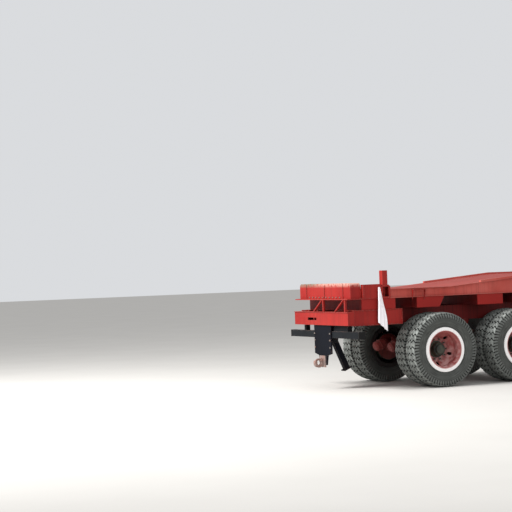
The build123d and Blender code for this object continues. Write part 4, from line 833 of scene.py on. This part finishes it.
# Plain-woven cotton: matt white with a faint violet cast, and dusty in patches
cotton, tree, shader = new_material("cotton_plain_weave")
thread = 0.004  # real threads are 0.4 mm apart; drawn this coarse so that they show
bands = 0.16 / thread  # a wave of scale 1 repeats every 0.314 m, and one repeat is thread and gap
stain_wide = 1 / 8  # m, about 125 mm
thread_relief = 0.0006
spot = add(tree, "ShaderNodeTexCoord").outputs["Object"]
across = add(
    tree, "ShaderNodeTexWave", {"Vector": spot, "Scale": bands}, bands_direction="Z"
)
down = add(
    tree, "ShaderNodeTexWave", {"Vector": spot, "Scale": bands}, bands_direction="X"
)
weave = add(tree, "ShaderNodeMath", {0: across, 1: down}, operation="ADD")
stain = add(tree, "ShaderNodeTexNoise", {"Vector": spot, "Scale": 1 / stain_wide, "Detail": 5.0})
marked = add(
    tree, "ShaderNodeMapRange", {"Value": stain, "From Min": 0.5, "From Max": 0.75, "To Max": 0.5}
)
colour = add(
    tree,
    "ShaderNodeMix",
    {"Factor": marked, "A": linear("#F3EEF2"), "B": linear("#CDBFC0")},
    data_type="RGBA",
)
tree.links.new(colour.outputs["Result"], shader.inputs["Base Color"])
shader.inputs["Roughness"].default_value = 0.9
shader.inputs["Sheen Weight"].default_value = 0.25
relief = add(tree, "ShaderNodeBump", {"Strength": 0.25, "Distance": thread_relief, "Height": weave})
tree.links.new(relief.outputs["Normal"], shader.inputs["Normal"])
cloth_mesh.materials.append(cotton)
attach(cloth, "chassis")
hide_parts("flag")

# ---------------------------------------------------------------- floor, light and camera
# A plain pale floor under an overcast sky, with one broad lamp high behind the tail that lights
# the faces turned to it, and a weak one at the right that opens the shade under the deck.
floor_half = 120.0
floor_mesh = bpy.data.meshes.new("studio_floor")
floor_mesh.from_pydata(
    [(x * floor_half, y * floor_half, 0.0) for x, y in ((-1, -1), (1, -1), (1, 1), (-1, 1))],
    [],
    [(0, 1, 2, 3)],
)
floor = bpy.data.objects.new("studio_floor", floor_mesh)
bpy.context.scene.collection.objects.link(floor)
# Trowelled pale screed, matt, with a faint mottle
screed, tree, shader = new_material("pale_screed_floor")
mottle_wide = 1 / 0.6  # m, about 1.7 m
spot = add(tree, "ShaderNodeTexCoord").outputs["Object"]
mottle = add(tree, "ShaderNodeTexNoise", {"Vector": spot, "Scale": 1 / mottle_wide, "Detail": 6.0})
colour = add(
    tree,
    "ShaderNodeMix",
    {"Factor": mottle, "A": linear("#C9C6C1"), "B": linear("#D2CFCA")},
    data_type="RGBA",
)
tree.links.new(colour.outputs["Result"], shader.inputs["Base Color"])
shader.inputs["Roughness"].default_value = 1.0
shader.inputs["Specular IOR Level"].default_value = 0.0
floor_mesh.materials.append(screed)

world = bpy.data.worlds.new("overcast_sky")
bpy.context.scene.world = world
world.use_nodes = True
sky = world.node_tree.nodes["Background"]
sky.inputs["Color"].default_value = linear("#E9EBEE")
sky.inputs["Strength"].default_value = 0.86
bpy.context.scene.view_settings.view_transform = "Standard"

middle = (packed_low + packed_high) / 2
for name, size, power, place in (
    ("broad_lamp", 5.0, 3300.0, Vector((-14.0, 0.0, 9.0))),
    ("shade_lamp", 8.0, 330.0, Vector((-2.0, -16.0, 5.0))),
):
    lamp = bpy.data.lights.new(name, "AREA")
    lamp.size = size
    lamp.energy = power
    stand = bpy.data.objects.new(name, lamp)
    bpy.context.scene.collection.objects.link(stand)
    stand.location = middle + place
    stand.rotation_mode = "QUATERNION"
    stand.rotation_quaternion = (-place).to_track_quat("-Z", "Y")

# A long lens held at eye height, off the right rear corner, leaning a little to the left
camera_place = Vector((-14.9805, -22.0256, 1.982))
heading, tilt, lean = math.radians(25.347), math.radians(0.625), math.radians(-2.065)
lens_mm, sensor_mm = 105.47, 36.0
forward = Vector(
    (math.sin(heading) * math.cos(tilt), math.cos(heading) * math.cos(tilt), math.sin(tilt))
)
level_right = Vector((math.cos(heading), -math.sin(heading), 0.0))
level_up = level_right.cross(forward)
right = level_right * math.cos(lean) + level_up * math.sin(lean)
up = level_up * math.cos(lean) - level_right * math.sin(lean)
camera_data = bpy.data.cameras.new("long_lens")
camera_data.lens = lens_mm
camera_data.sensor_width = sensor_mm
camera_data.clip_end = 500.0
camera = bpy.data.objects.new("long_lens", camera_data)
bpy.context.scene.collection.objects.link(camera)
pose = Matrix((right, up, -forward)).transposed().to_4x4()
pose.translation = camera_place
camera.matrix_world = pose
bpy.context.scene.camera = camera
